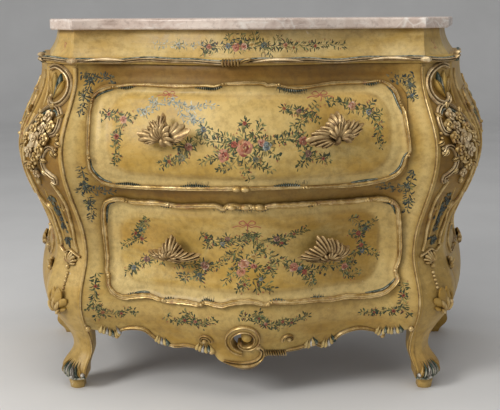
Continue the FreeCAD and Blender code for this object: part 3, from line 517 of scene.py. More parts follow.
def patch(heap, outline, holes, spacing, finish, lift, thickness):
    """Solid sheet over an outline on the front, with a bare wooden back.

    Lift gives the heights and masks at some places and their distances to the edge.
    """
    places, triangles = triangulate(outline, holes, spacing)
    height, mask = lift(places, distance(places, outline, *holes))
    top = on(front, places, height)
    bottom = front(*places.T) + np.array((0, thickness, 0))
    a, b, c = (top[triangles[:, i]] for i in range(3))
    wrong = np.cross(b - a, c - a)[:, 1] > 0
    triangles[wrong] = triangles[wrong][:, ::-1]
    faces = triangles.tolist()
    edges = dict.fromkeys(pair for a, b, c in faces for pair in ((a, b), (b, c), (c, a)))
    count = len(places)
    walls = [(stop, start, start + count, stop + count)
             for start, stop in edges if (stop, start) not in edges]
    heap.add(np.vstack([top, bottom]), faces + walls, finish, np.vstack([mask, mask * 0]))
    heap.add(bottom, [face[::-1] for face in faces], INNER_WOOD, mask * 0)


# ---------------------------------------------------------------- finishes
class Finish:
    """Node material, built a node at a time."""

    def __init__(self, name):
        self.material = bpy.data.materials.new(name)
        self.material.use_nodes = True
        self.tree = self.material.node_tree
        self.tree.nodes.clear()
        output = self.node("ShaderNodeOutputMaterial")
        self.shader = self.node("ShaderNodeBsdfPrincipled")
        self.tree.links.new(self.shader.outputs[0], output.inputs[0])
        self.shader.inputs["Specular IOR Level"].default_value = 0.32
        self.place = self.node("ShaderNodeTexCoord").outputs["Object"]

    def node(self, kind, inputs=(), **settings):
        """New node with its settings, its inputs linked or filled in."""
        node = self.tree.nodes.new(kind)
        for key, value in settings.items():
            setattr(node, key, value)
        for key, value in dict(inputs).items():
            self.put(node.inputs[key], value)
        return node

    def put(self, socket, value):
        """Links another node's output to a socket, or gives it a plain value."""
        if isinstance(value, bpy.types.NodeSocket):
            self.tree.links.new(value, socket)
        elif isinstance(value, tuple) and len(value) == 3 and socket.type == "RGBA":
            socket.default_value = (*value, 1)
        else:
            socket.default_value = value

    def stretched(self, stretch):
        """Places on the object, scaled along each axis."""
        mapping = self.node("ShaderNodeMapping", {"Vector": self.place, "Scale": stretch})
        return mapping.outputs[0]

    def noise(self, scale, detail=5, rough=0.6, warp=0.0, stretch=(1, 1, 1)):
        """Cloudy value; the scale is in clouds to a metre, and a stretch below 1 draws them out."""
        inputs = {"Vector": self.stretched(stretch), "Scale": scale, "Detail": detail, "Roughness": rough,
                  "Distortion": warp}
        return self.node("ShaderNodeTexNoise", inputs).outputs["Fac"]

    def ramp(self, value, stops):
        """Colours, or plain shares, at places along a value."""
        node = self.node("ShaderNodeValToRGB", {"Fac": value})
        band = node.color_ramp
        while len(band.elements) < len(stops):
            band.elements.new(0.5)
        for element, (place, colour) in zip(band.elements, stops):
            element.position = place
            colour = colour if isinstance(colour, tuple) else (colour,) * 3
            element.color = (*colour, 1)
        return node.outputs["Color"]

    def mix(self, share, a, b, kind="MIX"):
        """Colour a where the share is 0, and b laid on it where it is 1."""
        node = self.node("ShaderNodeMix", data_type="RGBA", blend_type=kind)
        for index, value in ((0, share), (6, a), (7, b)):
            self.put(node.inputs[index], value)
        return node.outputs[2]

    def coat(self, under, over, value, *stops):
        """Lays one colour over another, by a share that a ramp of a value gives."""
        return self.mix(self.ramp(value, stops), under, over)

    def math(self, kind, a, b=0.0):
        """Two values multiplied, added or the like, kept between 0 and 1."""
        node = self.node("ShaderNodeMath", operation=kind, use_clamp=True)
        self.put(node.inputs[0], a)
        self.put(node.inputs[1], b)
        return node.outputs[0]

    def mask(self):
        """The tone, the rim with painted highlights, and the painted shade that a mesh carries."""
        colour = self.node("ShaderNodeAttribute", attribute_name="mask").outputs["Color"]
        return self.node("ShaderNodeSeparateColor", {"Color": colour}).outputs

    def cracks(self, scale, width, stretch=(1, 1, 1)):
        """Share that is 1 on the warped lines between cells."""
        warp = self.node("ShaderNodeTexNoise", {"Vector": self.place, "Scale": scale * 0.7})
        place = self.mix(0.06, self.stretched(stretch), warp.outputs["Color"], "ADD")
        node = self.node("ShaderNodeTexVoronoi", {"Vector": place, "Scale": scale},
                         feature="DISTANCE_TO_EDGE")
        return self.ramp(node.outputs["Distance"], [(0, 1.0), (width, 0.0)])

    def hollows(self, reach):
        """Share that is 1 where the surface is shut in."""
        node = self.node("ShaderNodeAmbientOcclusion", {"Distance": reach}, samples=4)
        return self.ramp(node.outputs["AO"], [(0.35, 1.0), (0.85, 0.0)])

    def bump(self, height, depth, strength=1.0):
        """Lets fine relief show in the shading."""
        node = self.node("ShaderNodeBump", {"Height": height, "Distance": depth, "Strength": strength})
        self.put(self.shader.inputs["Normal"], node.outputs[0])

    def finish(self, colour, roughness, metallic=0.0):
        """Hands the worked-out values to the shader."""
        self.put(self.shader.inputs["Base Color"], colour)
        self.put(self.shader.inputs["Roughness"], roughness)
        self.put(self.shader.inputs["Metallic"], metallic)


CREAM = (0.72, 0.54, 0.225)
PALE_OCHRE = (0.56, 0.39, 0.115)
OCHRE = (0.47, 0.295, 0.072)
AMBER = (0.39, 0.225, 0.035)
UMBER = (0.10, 0.055, 0.016)
# Warm colour multiplied in for painted shade.
SHADE_GLAZE = (0.42, 0.32, 0.13)
GESSO = (0.74, 0.66, 0.50)
AMBER_GLAZE = (0.56, 0.315, 0.065)
BOLE = (0.34, 0.16, 0.085)
# Dark colour for soiling and painted shade in the hollows of gilding.
SOOT_AND_SHADE = (0.055, 0.030, 0.012)
SHADOW = (0.03, 0.03, 0.02)
VARNISH = (0.12, 0.085, 0.03)


def aged_paint(name, dark, middle, pale, wear=0.5):
    """Old oil paint on gesso: clouded, streaked, crackled, pale at rims and painted highlights, with painted
    shade.
    """
    f = Finish(name)
    _, rim, painted_shade = f.mask()[:3]
    clouds = f.noise(5.2, 7, 0.62, 0.7, (1, 1, 1.6))
    colour = f.ramp(clouds, [(0.36, dark), (0.5, middle), (0.64, pale)])
    warm = f.noise(2.6, 5, 0.55, 0.4, (1, 1, 1.8))
    colour = f.coat(colour, AMBER_GLAZE, warm, (0.50, 0.0), (0.66, 0.55))
    streaks = f.noise(5, 5, 0.65, 0.3, (1, 1, 7))
    colour = f.coat(colour, pale, streaks, (0.5, 0.0), (0.72, 0.4))
    drips = f.noise(7, 4, 0.6, 0.2, (6, 6, 0.8))
    colour = f.coat(colour, dark, drips, (0.52, 0.0), (0.75, 0.35))
    # Cream at the rims, and the painted highlights that the rim mask carries.
    band = f.math("MULTIPLY", rim, f.ramp(clouds, [(0.3, 0.6), (0.6, 0.95)]))
    colour = f.mix(band, colour, CREAM)
    fine = f.noise(60, 6, 0.7)
    colour = f.coat(colour, UMBER, fine, (0.35, 0.3), (0.55, 0.0))
    chips = f.noise(38, 8, 0.75, 1.0)
    colour = f.coat(colour, GESSO, chips, (0.70 - 0.05 * wear, 0.0), (0.73 - 0.05 * wear, 0.85))
    crackle = f.math("MULTIPLY", f.cracks(70, 0.03, (1, 1, 0.6)), f.ramp(clouds, [(0.4, 0.0), (0.65, 0.3)]))
    colour = f.mix(crackle, colour, UMBER)
    # Painted shade where the mask carries it, streaked, then painted shade in hollows.
    shade_streaked = f.math("MULTIPLY", painted_shade, f.ramp(streaks, [(0.3, 1.0), (0.75, 0.75)]))
    colour = f.mix(shade_streaked, colour, SHADE_GLAZE, "MULTIPLY")
    colour = f.mix(f.math("MULTIPLY", f.hollows(0.012), 0.7), colour, UMBER)
    ripple = f.noise(26, 4, 0.5)
    f.bump(f.mix(0.5, ripple, f.mix(0.3, fine, crackle)), 0.0012, 0.45)
    f.finish(colour, f.ramp(fine, [(0.3, 0.34), (0.7, 0.54)]))
    return f.material


def worn_gilding(name, deep, middle, bright, ground=BOLE):
    """Water gilding worn through to its red-brown ground, with painted highlights on high parts and soiling
    and painted shade in hollows.
    """
    f = Finish(name)
    tone = f.mask()[0]
    cloud = f.noise(32, 6, 0.65, 0.5)
    fine = f.noise(170, 5, 0.7)
    gold = f.ramp(cloud, [(0.3, deep), (0.48, middle), (0.66, bright)])
    # A painted highlight on the high parts.
    raised_highlight = f.ramp(tone, [(0.68, 0.0), (1.0, 1.0)])
    ridge = f.math("MULTIPLY", raised_highlight, f.ramp(fine, [(0.35, 0.15), (0.6, 0.9)]))
    gold = f.mix(ridge, gold, bright)
    bole = f.ramp(f.noise(55, 6, 0.7, 0.8), [(0.54, 0.0), (0.66, 0.7)])
    colour = f.mix(bole, gold, ground)
    colour = f.coat(colour, GESSO, f.noise(85, 7, 0.75, 1.2), (0.66, 0.0), (0.70, 0.9))
    # Soiling and painted shade in the low parts and in hollows.
    hollow = f.ramp(tone, [(0.05, 0.9), (0.6, 0.0)])
    dirt_and_shade = f.math("MAXIMUM", f.math("MULTIPLY", hollow, 0.85), f.hollows(0.008))
    dirt_and_shade = f.math("MULTIPLY", dirt_and_shade, f.ramp(fine, [(0.25, 1.0), (0.75, 0.75)]))
    colour = f.mix(dirt_and_shade, colour, SOOT_AND_SHADE)
    metal = f.math("SUBTRACT", 0.55, f.math("ADD", f.math("MULTIPLY", bole, 0.5), dirt_and_shade))
    f.bump(f.mix(0.4, cloud, fine), 0.0010, 0.5)
    f.finish(colour, f.ramp(cloud, [(0.3, 0.52), (0.7, 0.32)]), metal)
    return f.material


def worn_colour(name, colour, pale):
    """Painted carving, the colour worn off the high parts, with painted shadow in its hollows."""
    f = Finish(name)
    tone = f.mask()[0]
    cloud = f.noise(60, 6, 0.7, 0.5)
    high = f.ramp(tone, [(0.55, 0.0), (1.0, 0.8)])
    worn = f.math("MULTIPLY", high, f.ramp(cloud, [(0.42, 0.0), (0.6, 1.0)]))
    base = f.coat(colour, pale, cloud, (0.3, 0.0), (0.7, 0.6))
    shown = f.mix(worn, base, GESSO)
    shown = f.mix(f.hollows(0.006), shown, SHADOW)
    f.bump(cloud, 0.0008, 0.5)
    f.finish(shown, 0.5)
    return f.material


def brushwork(name):
    """Thin painted decoration in the colours that the mesh carries."""
    f = Finish(name)
    colour = f.node("ShaderNodeAttribute", attribute_name="tint").outputs["Color"]
    cloud = f.noise(120, 6, 0.7, 0.4)
    worn = f.noise(26, 6, 0.7, 0.6)
    shown = f.coat(colour, VARNISH, cloud, (0.35, 0.35), (0.6, 0.0))
    shown = f.coat(shown, PALE_OCHRE, worn, (0.54, 0.0), (0.68, 0.5))
    f.bump(cloud, 0.0004, 0.4)
    f.finish(shown, 0.48)
    return f.material


def veined_marble(name):
    """Pinkish stone with dark specks, pale veins of two sizes, streaks and small chips."""
    f = Finish(name)
    cloud = f.noise(7, 8, 0.65, 1.4)
    colour = f.ramp(cloud, [(0.3, (0.36, 0.27, 0.22)), (0.45, (0.58, 0.46, 0.39)),
                            (0.60, (0.72, 0.61, 0.53)), (0.73, (0.80, 0.73, 0.66))])
    speck = f.noise(90, 6, 0.75, 0.4)
    colour = f.coat(colour, (0.22, 0.15, 0.12), speck, (0.3, 0.55), (0.5, 0.0))
    for scale, width, strength in ((6, 0.035, 0.75), (17, 0.05, 0.5)):
        veins = f.math("MULTIPLY", f.cracks(scale, width, (1, 1.6, 1)), strength)
        patchy = f.math("MULTIPLY", veins, f.ramp(f.noise(5, 3), [(0.42, 0.0), (0.58, 1.0)]))
        colour = f.mix(patchy, colour, (0.86, 0.82, 0.76))
    streaks = f.noise(15, 7, 0.7, 0.8, (0.45, 1, 2.6))
    colour = f.coat(colour, (0.88, 0.83, 0.77), streaks, (0.56, 0.0), (0.66, 0.75))
    colour = f.coat(colour, (0.30, 0.20, 0.16), streaks, (0.30, 0.6), (0.44, 0.0))
    chips = f.ramp(f.noise(48, 7, 0.8, 1.0), [(0.66, 0.0), (0.70, 0.8)])
    colour = f.mix(chips, colour, (0.80, 0.76, 0.70))
    f.bump(f.mix(0.5, speck, chips), 0.0008, 0.35)
    f.finish(colour, f.ramp(speck, [(0.3, 0.34), (0.7, 0.22)]))
    return f.material


def bare_wood(name, dark, pale):
    """Unpainted softwood: rings and pores that run along the boards."""
    f = Finish(name)
    warp = f.noise(3, 4, 0.6, 1.2, (0.5, 2, 2))
    rings = f.noise(9, 6, 0.65, 1.8, (1, 12, 12))
    colour = f.ramp(rings, [(0.3, dark), (0.52, pale), (0.7, dark)])
    colour = f.coat(colour, tuple(0.55 * c for c in dark), warp, (0.35, 0.5), (0.7, 0.0))
    pores = f.noise(60, 4, 0.7, 0.0, (1, 14, 14))
    colour = f.coat(colour, tuple(0.3 * c for c in dark), pores, (0.3, 0.5), (0.45, 0.0))
    f.bump(f.mix(0.5, rings, pores), 0.0009, 0.5)
    f.finish(colour, 0.68)
    return f.material


def aged_brass(name):
    """Dull old brass, brighter in patches."""
    f = Finish(name)
    cloud = f.noise(120, 5, 0.65)
    colour = f.ramp(cloud, [(0.35, (0.16, 0.10, 0.045)), (0.6, (0.50, 0.35, 0.13))])
    f.bump(cloud, 0.0003, 0.4)
    f.finish(colour, f.ramp(cloud, [(0.3, 0.55), (0.7, 0.3)]), 0.9)
    return f.material


PAINT = aged_paint("ochre_paint", AMBER, OCHRE, PALE_OCHRE)
PANEL = aged_paint("panel_paint", (0.43, 0.25, 0.035), (0.53, 0.335, 0.075), (0.65, 0.47, 0.165))
FRIEZE = aged_paint("frieze_paint", (0.44, 0.28, 0.065), (0.56, 0.395, 0.14), (0.66, 0.51, 0.23), 0.7)
POST = aged_paint("post_paint", (0.35, 0.205, 0.035), (0.46, 0.285, 0.07), (0.58, 0.40, 0.14), 0.8)
GILT = worn_gilding("worn_gilding", (0.25, 0.130, 0.030), (0.47, 0.300, 0.090), (0.80, 0.60, 0.29))
BRONZE = worn_gilding("handle_gilding", (0.13, 0.070, 0.024), (0.32, 0.200, 0.075), (0.66, 0.47, 0.23),
                      (0.22, 0.115, 0.055))
SILVER = worn_gilding("worn_silver", (0.16, 0.15, 0.13), (0.42, 0.39, 0.34), (0.80, 0.76, 0.68),
                      (0.10, 0.10, 0.09))
PALE_GILT = worn_gilding("pale_gilding", (0.30, 0.175, 0.070), (0.56, 0.395, 0.185), (0.86, 0.69, 0.43),
                         (0.34, 0.18, 0.10))
TEAL = worn_colour("teal_paint", (0.025, 0.05, 0.04), (0.11, 0.16, 0.12))
FLOWERS = brushwork("painted_flowers")
MARBLE = veined_marble("veined_marble")
INNER_WOOD = bare_wood("drawer_wood", (0.20, 0.115, 0.055), (0.40, 0.26, 0.14))
BACK_WOOD = bare_wood("back_wood", (0.11, 0.065, 0.032), (0.24, 0.15, 0.08))
BRASS = aged_brass("aged_brass")


# ---------------------------------------------------------------- the painted front
# Lists of points on the front are in millimetres, across from the middle and up. Lone sizes and
# the arguments of outlines are in metres.
APRON_EDGE = [
    (-372, 152), (-357, 144), (-336, 134), (-329, 148), (-312, 158), (-283, 162), (-262, 158),
    (-243, 139), (-225, 122), (-211, 119), (-188, 117), (-154, 125), (-133, 122), (-112, 114),
    (-95, 117), (-77, 99), (-57, 93), (-17, 89), (8, 92), (20, 102), (45, 113), (68, 112), (93, 120),
    (116, 123), (134, 126), (147, 123), (154, 132), (173, 121), (192, 118), (204, 129), (221, 147),
    (244, 158), (271, 162), (299, 155), (317, 147), (330, 136), (336, 147), (356, 145), (374, 152)]
OPENING = {
    "upper": rounded_rectangle(0.367, UPPER_LOW + PROUD, UPPER_HIGH - PROUD, 0.039),
    "lower": rounded_rectangle(0.350, LOWER_LOW + PROUD, LOWER_HIGH - PROUD, 0.039)}
VOLUTE = (-0.014, 0.161)
VOLUTE_HOLE = arc(VOLUTE, 0.031, 0, 360)[:-1]
FRONT_THICKNESS = 0.023
STILE_FOOT = 0.166
POST_GAP = 0.3 * MM
TOP_HALF = 0.395
RAIL_MIDDLE = 0.519
CREVICE = 0.016


def front_outline():
    """Outline of the whole painted front, between the posts and down to the apron's edge."""
    levels = np.arange(STILE_FOOT, CASE_TOP, 8 * MM)
    right = np.stack([blend(levels, FACE) - POST_GAP, levels], -1)
    top = np.stack([np.linspace(TOP_HALF, -TOP_HALF, 100), np.full(100, CASE_TOP)], -1)
    return np.vstack([smooth(APRON_EDGE), right, top, right[::-1] * (-1, 1)])


def rising(value, start, width):
    """Share that climbs from 0 at the start to 1 a width further on."""
    return np.clip((value - start) / width, 0, 1)


def hump(value, middle, width):
    """Bell-shaped share, 1 at the middle."""
    return np.exp(-((value - middle) / width) ** 2)


def front_waves(across, height):
    """Slow waves that a hand plane leaves in the front."""
    return 0.0005 * np.sin(across * 21) * np.sin(height * 17)


def wavy_front(across, height):
    """The painted front with its slow hand-worked waves."""
    return on(front, np.stack([across, height], -1), front_waves(across, height))


def front_lift(places, edge):
    """Lift and mask of the painted front: pale apron, painted highlight on stiles and painted shade."""
    x, z = places.T
    from_middle, from_post = np.abs(x), blend(z, FACE) - np.abs(x)
    near_post = 1 - rising(from_post, 0, 0.02)
    on_rail = np.clip(1.3 - np.abs(z - RAIL_MIDDLE) / 0.024, 0, 1) * (1 - rising(from_middle, 0.355, 0.03))
    under_cornice = rising(z, 0.760, 0.030) * np.clip((0.40 - from_middle) / 0.06, 0.25, 1)
    near_drawer = 1 - rising(distance(places, OPENING["upper"], OPENING["lower"]), 0, CREVICE)
    mask = np.zeros((len(places), 3))
    # Painted shade near the posts, on the middle rail, under the cornice and round the drawers.
    mask[:, 2] = np.clip(0.15 * near_post ** 2 + 0.85 * on_rail + under_cornice + 0.5 * near_drawer, 0, 1)
    mask[:, 1] = 0.6 * (1 - rising(edge, 0, 0.02)) * (z < 0.2) + 0.35 * hump(z, 0.225, 0.03)
    # A painted highlight down each stile, beside its post.
    mask[:, 1] += 0.65 * hump(from_post, 0.018, 0.016) * rising(z, 0.22, 0.08) * (1 - rising(z, 0.74, 0.05))
    return front_waves(x, z) - 1.5 * MM * hump(edge, 0, 4 * MM), mask


def build_front():
    """Painted board between the posts, with openings for the drawers and a hole in the volute."""
    heap = Heap("painted_front", "case", "painted_wood", [PAINT, INNER_WOOD],
                ("front_apron", "middle_rail", "top_rail", "stile_left", "stile_right"))
    holes = [OPENING["upper"], OPENING["lower"], VOLUTE_HOLE]
    patch(heap, front_outline(), holes, 7 * MM, PAINT, front_lift, FRONT_THICKNESS)
    heap.make()


# ---------------------------------------------------------------- drawer fronts and borders
BORDER = {
    "upper": [
        (-369, 722), (-366, 738), (-355, 750), (-336, 758), (-318, 761), (-273, 767), (-164, 766),
        (-94, 769), (-74, 768), (-55, 773), (33, 774), (40, 770), (55, 771), (106, 762), (186, 770),
        (272, 771), (304, 773), (324, 766), (341, 751), (352, 726), (362, 700), (367, 668), (373, 612),
        (366, 603), (358, 580), (346, 565), (329, 556), (306, 549), (251, 542), (115, 545), (95, 546),
        (2, 547), (-91, 544), (-147, 541), (-267, 537), (-322, 540), (-345, 547), (-362, 561),
        (-373, 579), (-375, 602), (-374, 668), (-373, 700)],
    "lower": [
        (-347, 484), (-340, 495), (-322, 502), (-296, 502), (-276, 497), (-209, 498), (-186, 496),
        (-161, 494), (-72, 501), (-57, 495), (-46, 503), (-14, 501), (11, 501), (31, 497), (45, 502),
        (103, 501), (150, 502), (227, 499), (279, 502), (318, 501), (341, 494), (352, 482), (357, 462),
        (362, 423), (366, 362), (363, 339), (356, 314), (361, 294), (348, 277), (330, 264), (308, 258),
        (268, 256), (233, 259), (193, 257), (150, 260), (96, 261), (49, 264), (41, 260), (2, 268),
        (-39, 264), (-65, 257), (-105, 260), (-111, 255), (-146, 256), (-177, 255), (-205, 253),
        (-240, 260), (-277, 257), (-311, 254), (-335, 266), (-346, 285), (-345, 303), (-350, 316),
        (-349, 342), (-351, 390), (-352, 431), (-351, 462)]}
# Where a border's carved strips meet, and where small leaves point in from it.
JOINTS = {
    "upper": [
        (-367, 731), (-372, 604), (-55, 773), (66, 771), (128, 545), (305, 772), (353, 722), (372, 607),
        (-318, 761)],
    "lower": [
        (-296, 503), (-186, 498), (-14, 501), (11, 501), (31, 499), (-46, 503), (150, 502), (279, 503),
        (339, 494), (355, 314), (-346, 305), (-205, 254), (-111, 255), (43, 261)]}
SHELLS = {
    "upper": [
        (-300, -268, "top"), (-115, -62, "top"), (68, 128, "top"), (272, 300, "top"),
        (-310, -255, "low"), (-150, -92, "low"), (60, 110, "low")],
    "lower": [
        (-214, -178, "top"), (-82, 44, "top"), (130, 150, "top"), (-300, -268, "low"),
        (-205, -178, "low"), (-110, -80, "low"), (52, 78, "low"), (142, 178, "low")]}
FIELD = {
    "upper": rounded_rectangle(0.326, 0.570, 0.744, 0.062),
    "lower": rounded_rectangle(0.310, 0.290, 0.472, 0.056)}
# How pale a drawer's cream rim is at each height: painted light makes it paler low down.
RIM_CREAM_AND_LIGHT = {"upper": ((0.55, 0.60), (0.9, 0.75)), "lower": ((0.27, 0.34, 0.49), (1.0, 0.75, 0.55))}
FIELD_RISE = 5 * MM
COVE = 4.5 * MM
LIP_EDGE = 5 * MM
LIP_THICKNESS = 0.8 * MM
LIP_COVER = 2.5 * MM
DRAWER_CLEARANCE = 2 * MM
DRAWER_THICKNESS = 0.017


def signed(places, outline):
    """Distance inside an outline, negative outside it."""
    return distance(places, outline) * np.where(inside(places, outline), 1, -1)


def drawer_relief(level, places, _edge=None):
    """Lift and mask of a drawer front: a coved rim inside its border, round a raised field; painted highlight
    and shade.
    """
    x, z = places.T
    inner = signed(places, BORDER_LINE[level])
    field = rising(signed(places, FIELD[level]), -0.010, 0.022)
    field = field * field * (3 - 2 * field)
    height = PROUD - COVE * hump(inner, 0.015, 0.009) * (1 - field) + FIELD_RISE * field
    height -= LIP_EDGE * rising(-inner, 0, 0.006)
    height += 0.0004 * np.sin(x * 31 + 1) * np.sin(z * 23) * field
    # A painted highlight mid-field; painted shade to its right, and on the lower field to its top.
    middle = FIELD[level][:, 1].mean() + 0.02
    centre_sheen, shaded = 0.75, 0.35 * rising(x, 0.25, 0.1)
    if level == "lower":
        centre_sheen, shaded = 0.2, 0.36 * rising(x, -0.05, 0.3) + 0.12 * rising(z, 0.40, 0.07)
    mask = np.zeros((len(places), 3))
    # Pale: the cream rim, paler low down with painted light, and the painted highlight.
    mask[:, 1] = np.clip(1 - 1.2 * field, 0, 1) * rising(inner, 0, 0.008) * np.interp(z, *RIM_CREAM_AND_LIGHT[level])
    mask[:, 1] += centre_sheen * field * hump(x, -0.03, 0.16) * hump(z, middle, 0.075)
    # Painted shade in the crevice inside the border, in the cove and across the field.
    mask[:, 2] = 0.8 * hump(np.maximum(inner, 0), 0, 0.006) + 0.35 * hump(field, 0.35, 0.25) + shaded * field
    return height, np.clip(mask, 0, 1)


def drawer_face(level):
    """Ground that follows the relief of a drawer front, read from a table worked out once."""
    low, high = BORDER_LINE[level].min(0), BORDER_LINE[level].max(0)
    columns, rows = np.arange(low[0], high[0], RELIEF_STEP), np.arange(low[1], high[1], RELIEF_STEP)
    x, z = np.meshgrid(columns, rows)
    table = drawer_relief(level, np.stack([x.ravel(), z.ravel()], -1))[0].reshape(x.shape)

    def ground(across, height):
        i = np.clip((across - low[0]) / RELIEF_STEP, 0, len(columns) - 1.001)
        k = np.clip((height - low[1]) / RELIEF_STEP, 0, len(rows) - 1.001)
        left, down = i.astype(int), k.astype(int)
        s, t = i - left, k - down
        lower = table[down, left] * (1 - s) + table[down, left + 1] * s
        upper = table[down + 1, left] * (1 - s) + table[down + 1, left + 1] * s
        return on(front, np.stack([across, height], -1), lower * (1 - t) + upper * t)
    return ground


RELIEF_STEP = 2.5 * MM
BORDER_LINE = {level: smooth(points, closed=True) for level, points in BORDER.items()}
DRAWER_FACE = {level: drawer_face(level) for level in BORDER}


def bare(_places, edge):
    """Lift and mask of a plain sheet."""
    return 0.0 * edge, np.zeros((len(edge), 3))


def grown(outline, amount):
    """An outline scaled about its middle, so that each half grows by an amount."""
    middle = (outline.min(0) + outline.max(0)) / 2
    half = (outline.max(0) - outline.min(0)) / 2
    return middle + (outline - middle) * (1 + amount / half)


def build_drawer_front(level):
    """Lip in the border's outline with a coved rim and a raised field, and the body behind it."""
    heap = Heap(level + "_drawer_panel", level + "_drawer", "painted_wood", [PANEL, INNER_WOOD],
                (level + "_drawer_front",))
    outline = union(BORDER_LINE[level], grown(OPENING[level], LIP_COVER))
    patch(heap, outline, [], 5 * MM, PANEL, partial(drawer_relief, level), -LIP_THICKNESS)
    patch(heap, grown(OPENING[level], -DRAWER_CLEARANCE), [], 12 * MM, INNER_WOOD, bare, DRAWER_THICKNESS)
    heap.make()


def between(line, low, high):
    """The part of a line between two places across, in millimetres."""
    return line[(line[:, 0] > low * MM) & (line[:, 0] < high * MM)]


def along(line, low, high, zone):
    """The part of a closed border line between two places across, at its top or low side."""
    middle = (line[:, 1].min() + line[:, 1].max()) / 2
    wanted = line[:, 1] > middle if zone == "top" else line[:, 1] < middle
    return between(line[wanted], low, high)


BORDER_WIDTH = {"upper": 9 * MM, "lower": 13 * MM}
SHORTEST_STRIP, SHORTEST_SHELL = 6, 4
BEADS = {"upper": [(-26, 546), (-8, 546)], "lower": [(-38, 502), (-8, 502), (23, 501)]}
TEAL_CORNERS = {
    "upper": [
        ((-366, 738), (-318, 761)), ((324, 766), (362, 700)), ((373, 612), (329, 556)),
        ((-322, 540), (-375, 602)), ((300, 548), (235, 543))],
    "lower": [
        ((-351, 440), (-322, 502)), ((318, 501), (357, 462)), ((361, 294), (280, 257)),
        ((-240, 260), (-277, 257))]}


def closest(line, place):
    """Index of the point of a line that is closest to a place in millimetres."""
    return int(np.argmin(np.linalg.norm(line - np.array(place) * MM, axis=1)))


def stretch(line, start, stop):
    """Part of a closed line from one place to another, in the line's own direction."""
    first, last = closest(line, start), closest(line, stop)
    return line[np.arange(first, last + 1 + (len(line) if last < first else 0)) % len(line)]


def border_strips(heap, level, line, wide):
    """Double gilt strips between the joints of a border, each swelling and curling in at its ends."""
    marks = sorted(closest(line, joint) for joint in JOINTS[level])
    for first, last in zip(marks, marks[1:] + [marks[0] + len(line)]):
        path = line[np.arange(first, last + 1) % len(line)]
        if len(path) < SHORTEST_STRIP:
            continue
        swell = 0.55 + 0.45 * lens(len(path), 0.02)
        uneven = 1 + 0.08 * np.sin(np.linspace(0, 0.9 * len(path), len(path)) + first)
        ribbon(heap, front, path, wide * swell * uneven, 6 * MM * swell, GILT, PAIR, PROUD - 0.5 * MM, 3 * MM)
        for end in (path[2], path[-3]):
            knob(heap, front, end, 0.30 * wide, 7.5 * MM, GILT, PROUD)


def border_flutes(heap, part, zone):
    """Row of small blue-green leaves that points in from a border."""
    part = part[np.argsort(part[:, 0])]
    down = -1 if zone == "top" else 1
    flutes = even(part, 4.4 * MM)
    for index, place in enumerate(flutes):
        share = index / max(len(flutes) - 1, 1)
        reach = (6 + 4 * math.sin(math.pi * share)) * MM
        tip = place + np.array(((share - 0.5) * 10 * MM, down * reach))
        root = place - np.array((0, down * 2 * MM))
        leaf(heap, front, root, tip, 4.8 * MM, 4 * MM, TEAL, belly=0.6, base=PROUD - 1.2 * MM, profile=KEEL,
             count=6)


def build_border(level):
    """Carved gilt border of a drawer front, with blue-green lines inside its corners."""
    heap = Heap(level + "_drawer_moulding", level + "_drawer", "gilding", [GILT, TEAL],
                (level + "_drawer_border",))
    line = BORDER_LINE[level]
    wide = BORDER_WIDTH[level]
    ribbon(heap, front, line, wide * 0.8, 4 * MM, GILT, ROUND, PROUD - 1 * MM, 2 * MM, closed=True)
    border_strips(heap, level, line, wide)
    for joint in JOINTS[level]:
        knob(heap, front, np.array(joint) * MM, 0.42 * wide, 8 * MM, GILT, PROUD)
    for bead in BEADS[level]:
        knob(heap, front, np.array(bead) * MM, 7 * MM, 11 * MM, GILT, PROUD, stretch=1.7)
    for low, high, zone in SHELLS[level]:
        part = along(line, low, high, zone)
        if len(part) >= SHORTEST_SHELL:
            border_flutes(heap, part, zone)
    for start, stop in TEAL_CORNERS[level]:
        path = stretch(line, start, stop)
        width = 7 * MM * np.sqrt(np.sin(np.pi * np.linspace(0.03, 0.97, len(path))))
        inset = path + aside(unit(np.gradient(path, axis=0))) * 0.62 * wide
        ribbon(heap, front, inset, width, 3 * MM, TEAL, KEEL, PROUD - 3 * MM, 3 * MM)
    heap.make()


# ---------------------------------------------------------------- painted flowers
GREENS = ((0.042, 0.062, 0.022), (0.026, 0.050, 0.032), (0.085, 0.09, 0.022), (0.018, 0.030, 0.018),
          (0.17, 0.19, 0.075))
SLATES = ((0.022, 0.036, 0.034), (0.040, 0.060, 0.056), (0.015, 0.020, 0.016), (0.075, 0.095, 0.065))
GHOSTS = ((0.27, 0.31, 0.27), (0.38, 0.38, 0.30), (0.15, 0.20, 0.18), (0.48, 0.46, 0.34))
# Colours of each kind of flower: outer petals, inner petals, heart and lights.
KINDS = {
    "rose": ((0.47, 0.20, 0.125), (0.33, 0.085, 0.055), (0.18, 0.03, 0.02), (0.60, 0.36, 0.23)),
    "pink": ((0.56, 0.31, 0.21), (0.42, 0.15, 0.10), (0.28, 0.06, 0.045), (0.68, 0.47, 0.32)),
    "blue": ((0.19, 0.23, 0.23), (0.08, 0.11, 0.13), (0.48, 0.32, 0.09), (0.36, 0.38, 0.33)),
    "slate": ((0.085, 0.12, 0.11), (0.035, 0.050, 0.050), (0.35, 0.29, 0.13), (0.17, 0.21, 0.17)),
    "red": ((0.40, 0.10, 0.06), (0.28, 0.045, 0.03), (0.14, 0.02, 0.015), (0.48, 0.20, 0.12)),
    "plum": ((0.29, 0.14, 0.11), (0.15, 0.06, 0.055), (0.40, 0.26, 0.12), (0.42, 0.26, 0.17)),
    "straw": ((0.56, 0.40, 0.15), (0.48, 0.26, 0.05), (0.26, 0.10, 0.02), (0.66, 0.52, 0.24)),
    "ghost": ((0.46, 0.46, 0.38), (0.30, 0.33, 0.31), (0.44, 0.30, 0.15), (0.55, 0.53, 0.42))}

STROKE_TAPER = np.array((0.3, 0.9, 1.0, 0.8, 0.15))
STROKE_DEPTH = 0.5 * MM


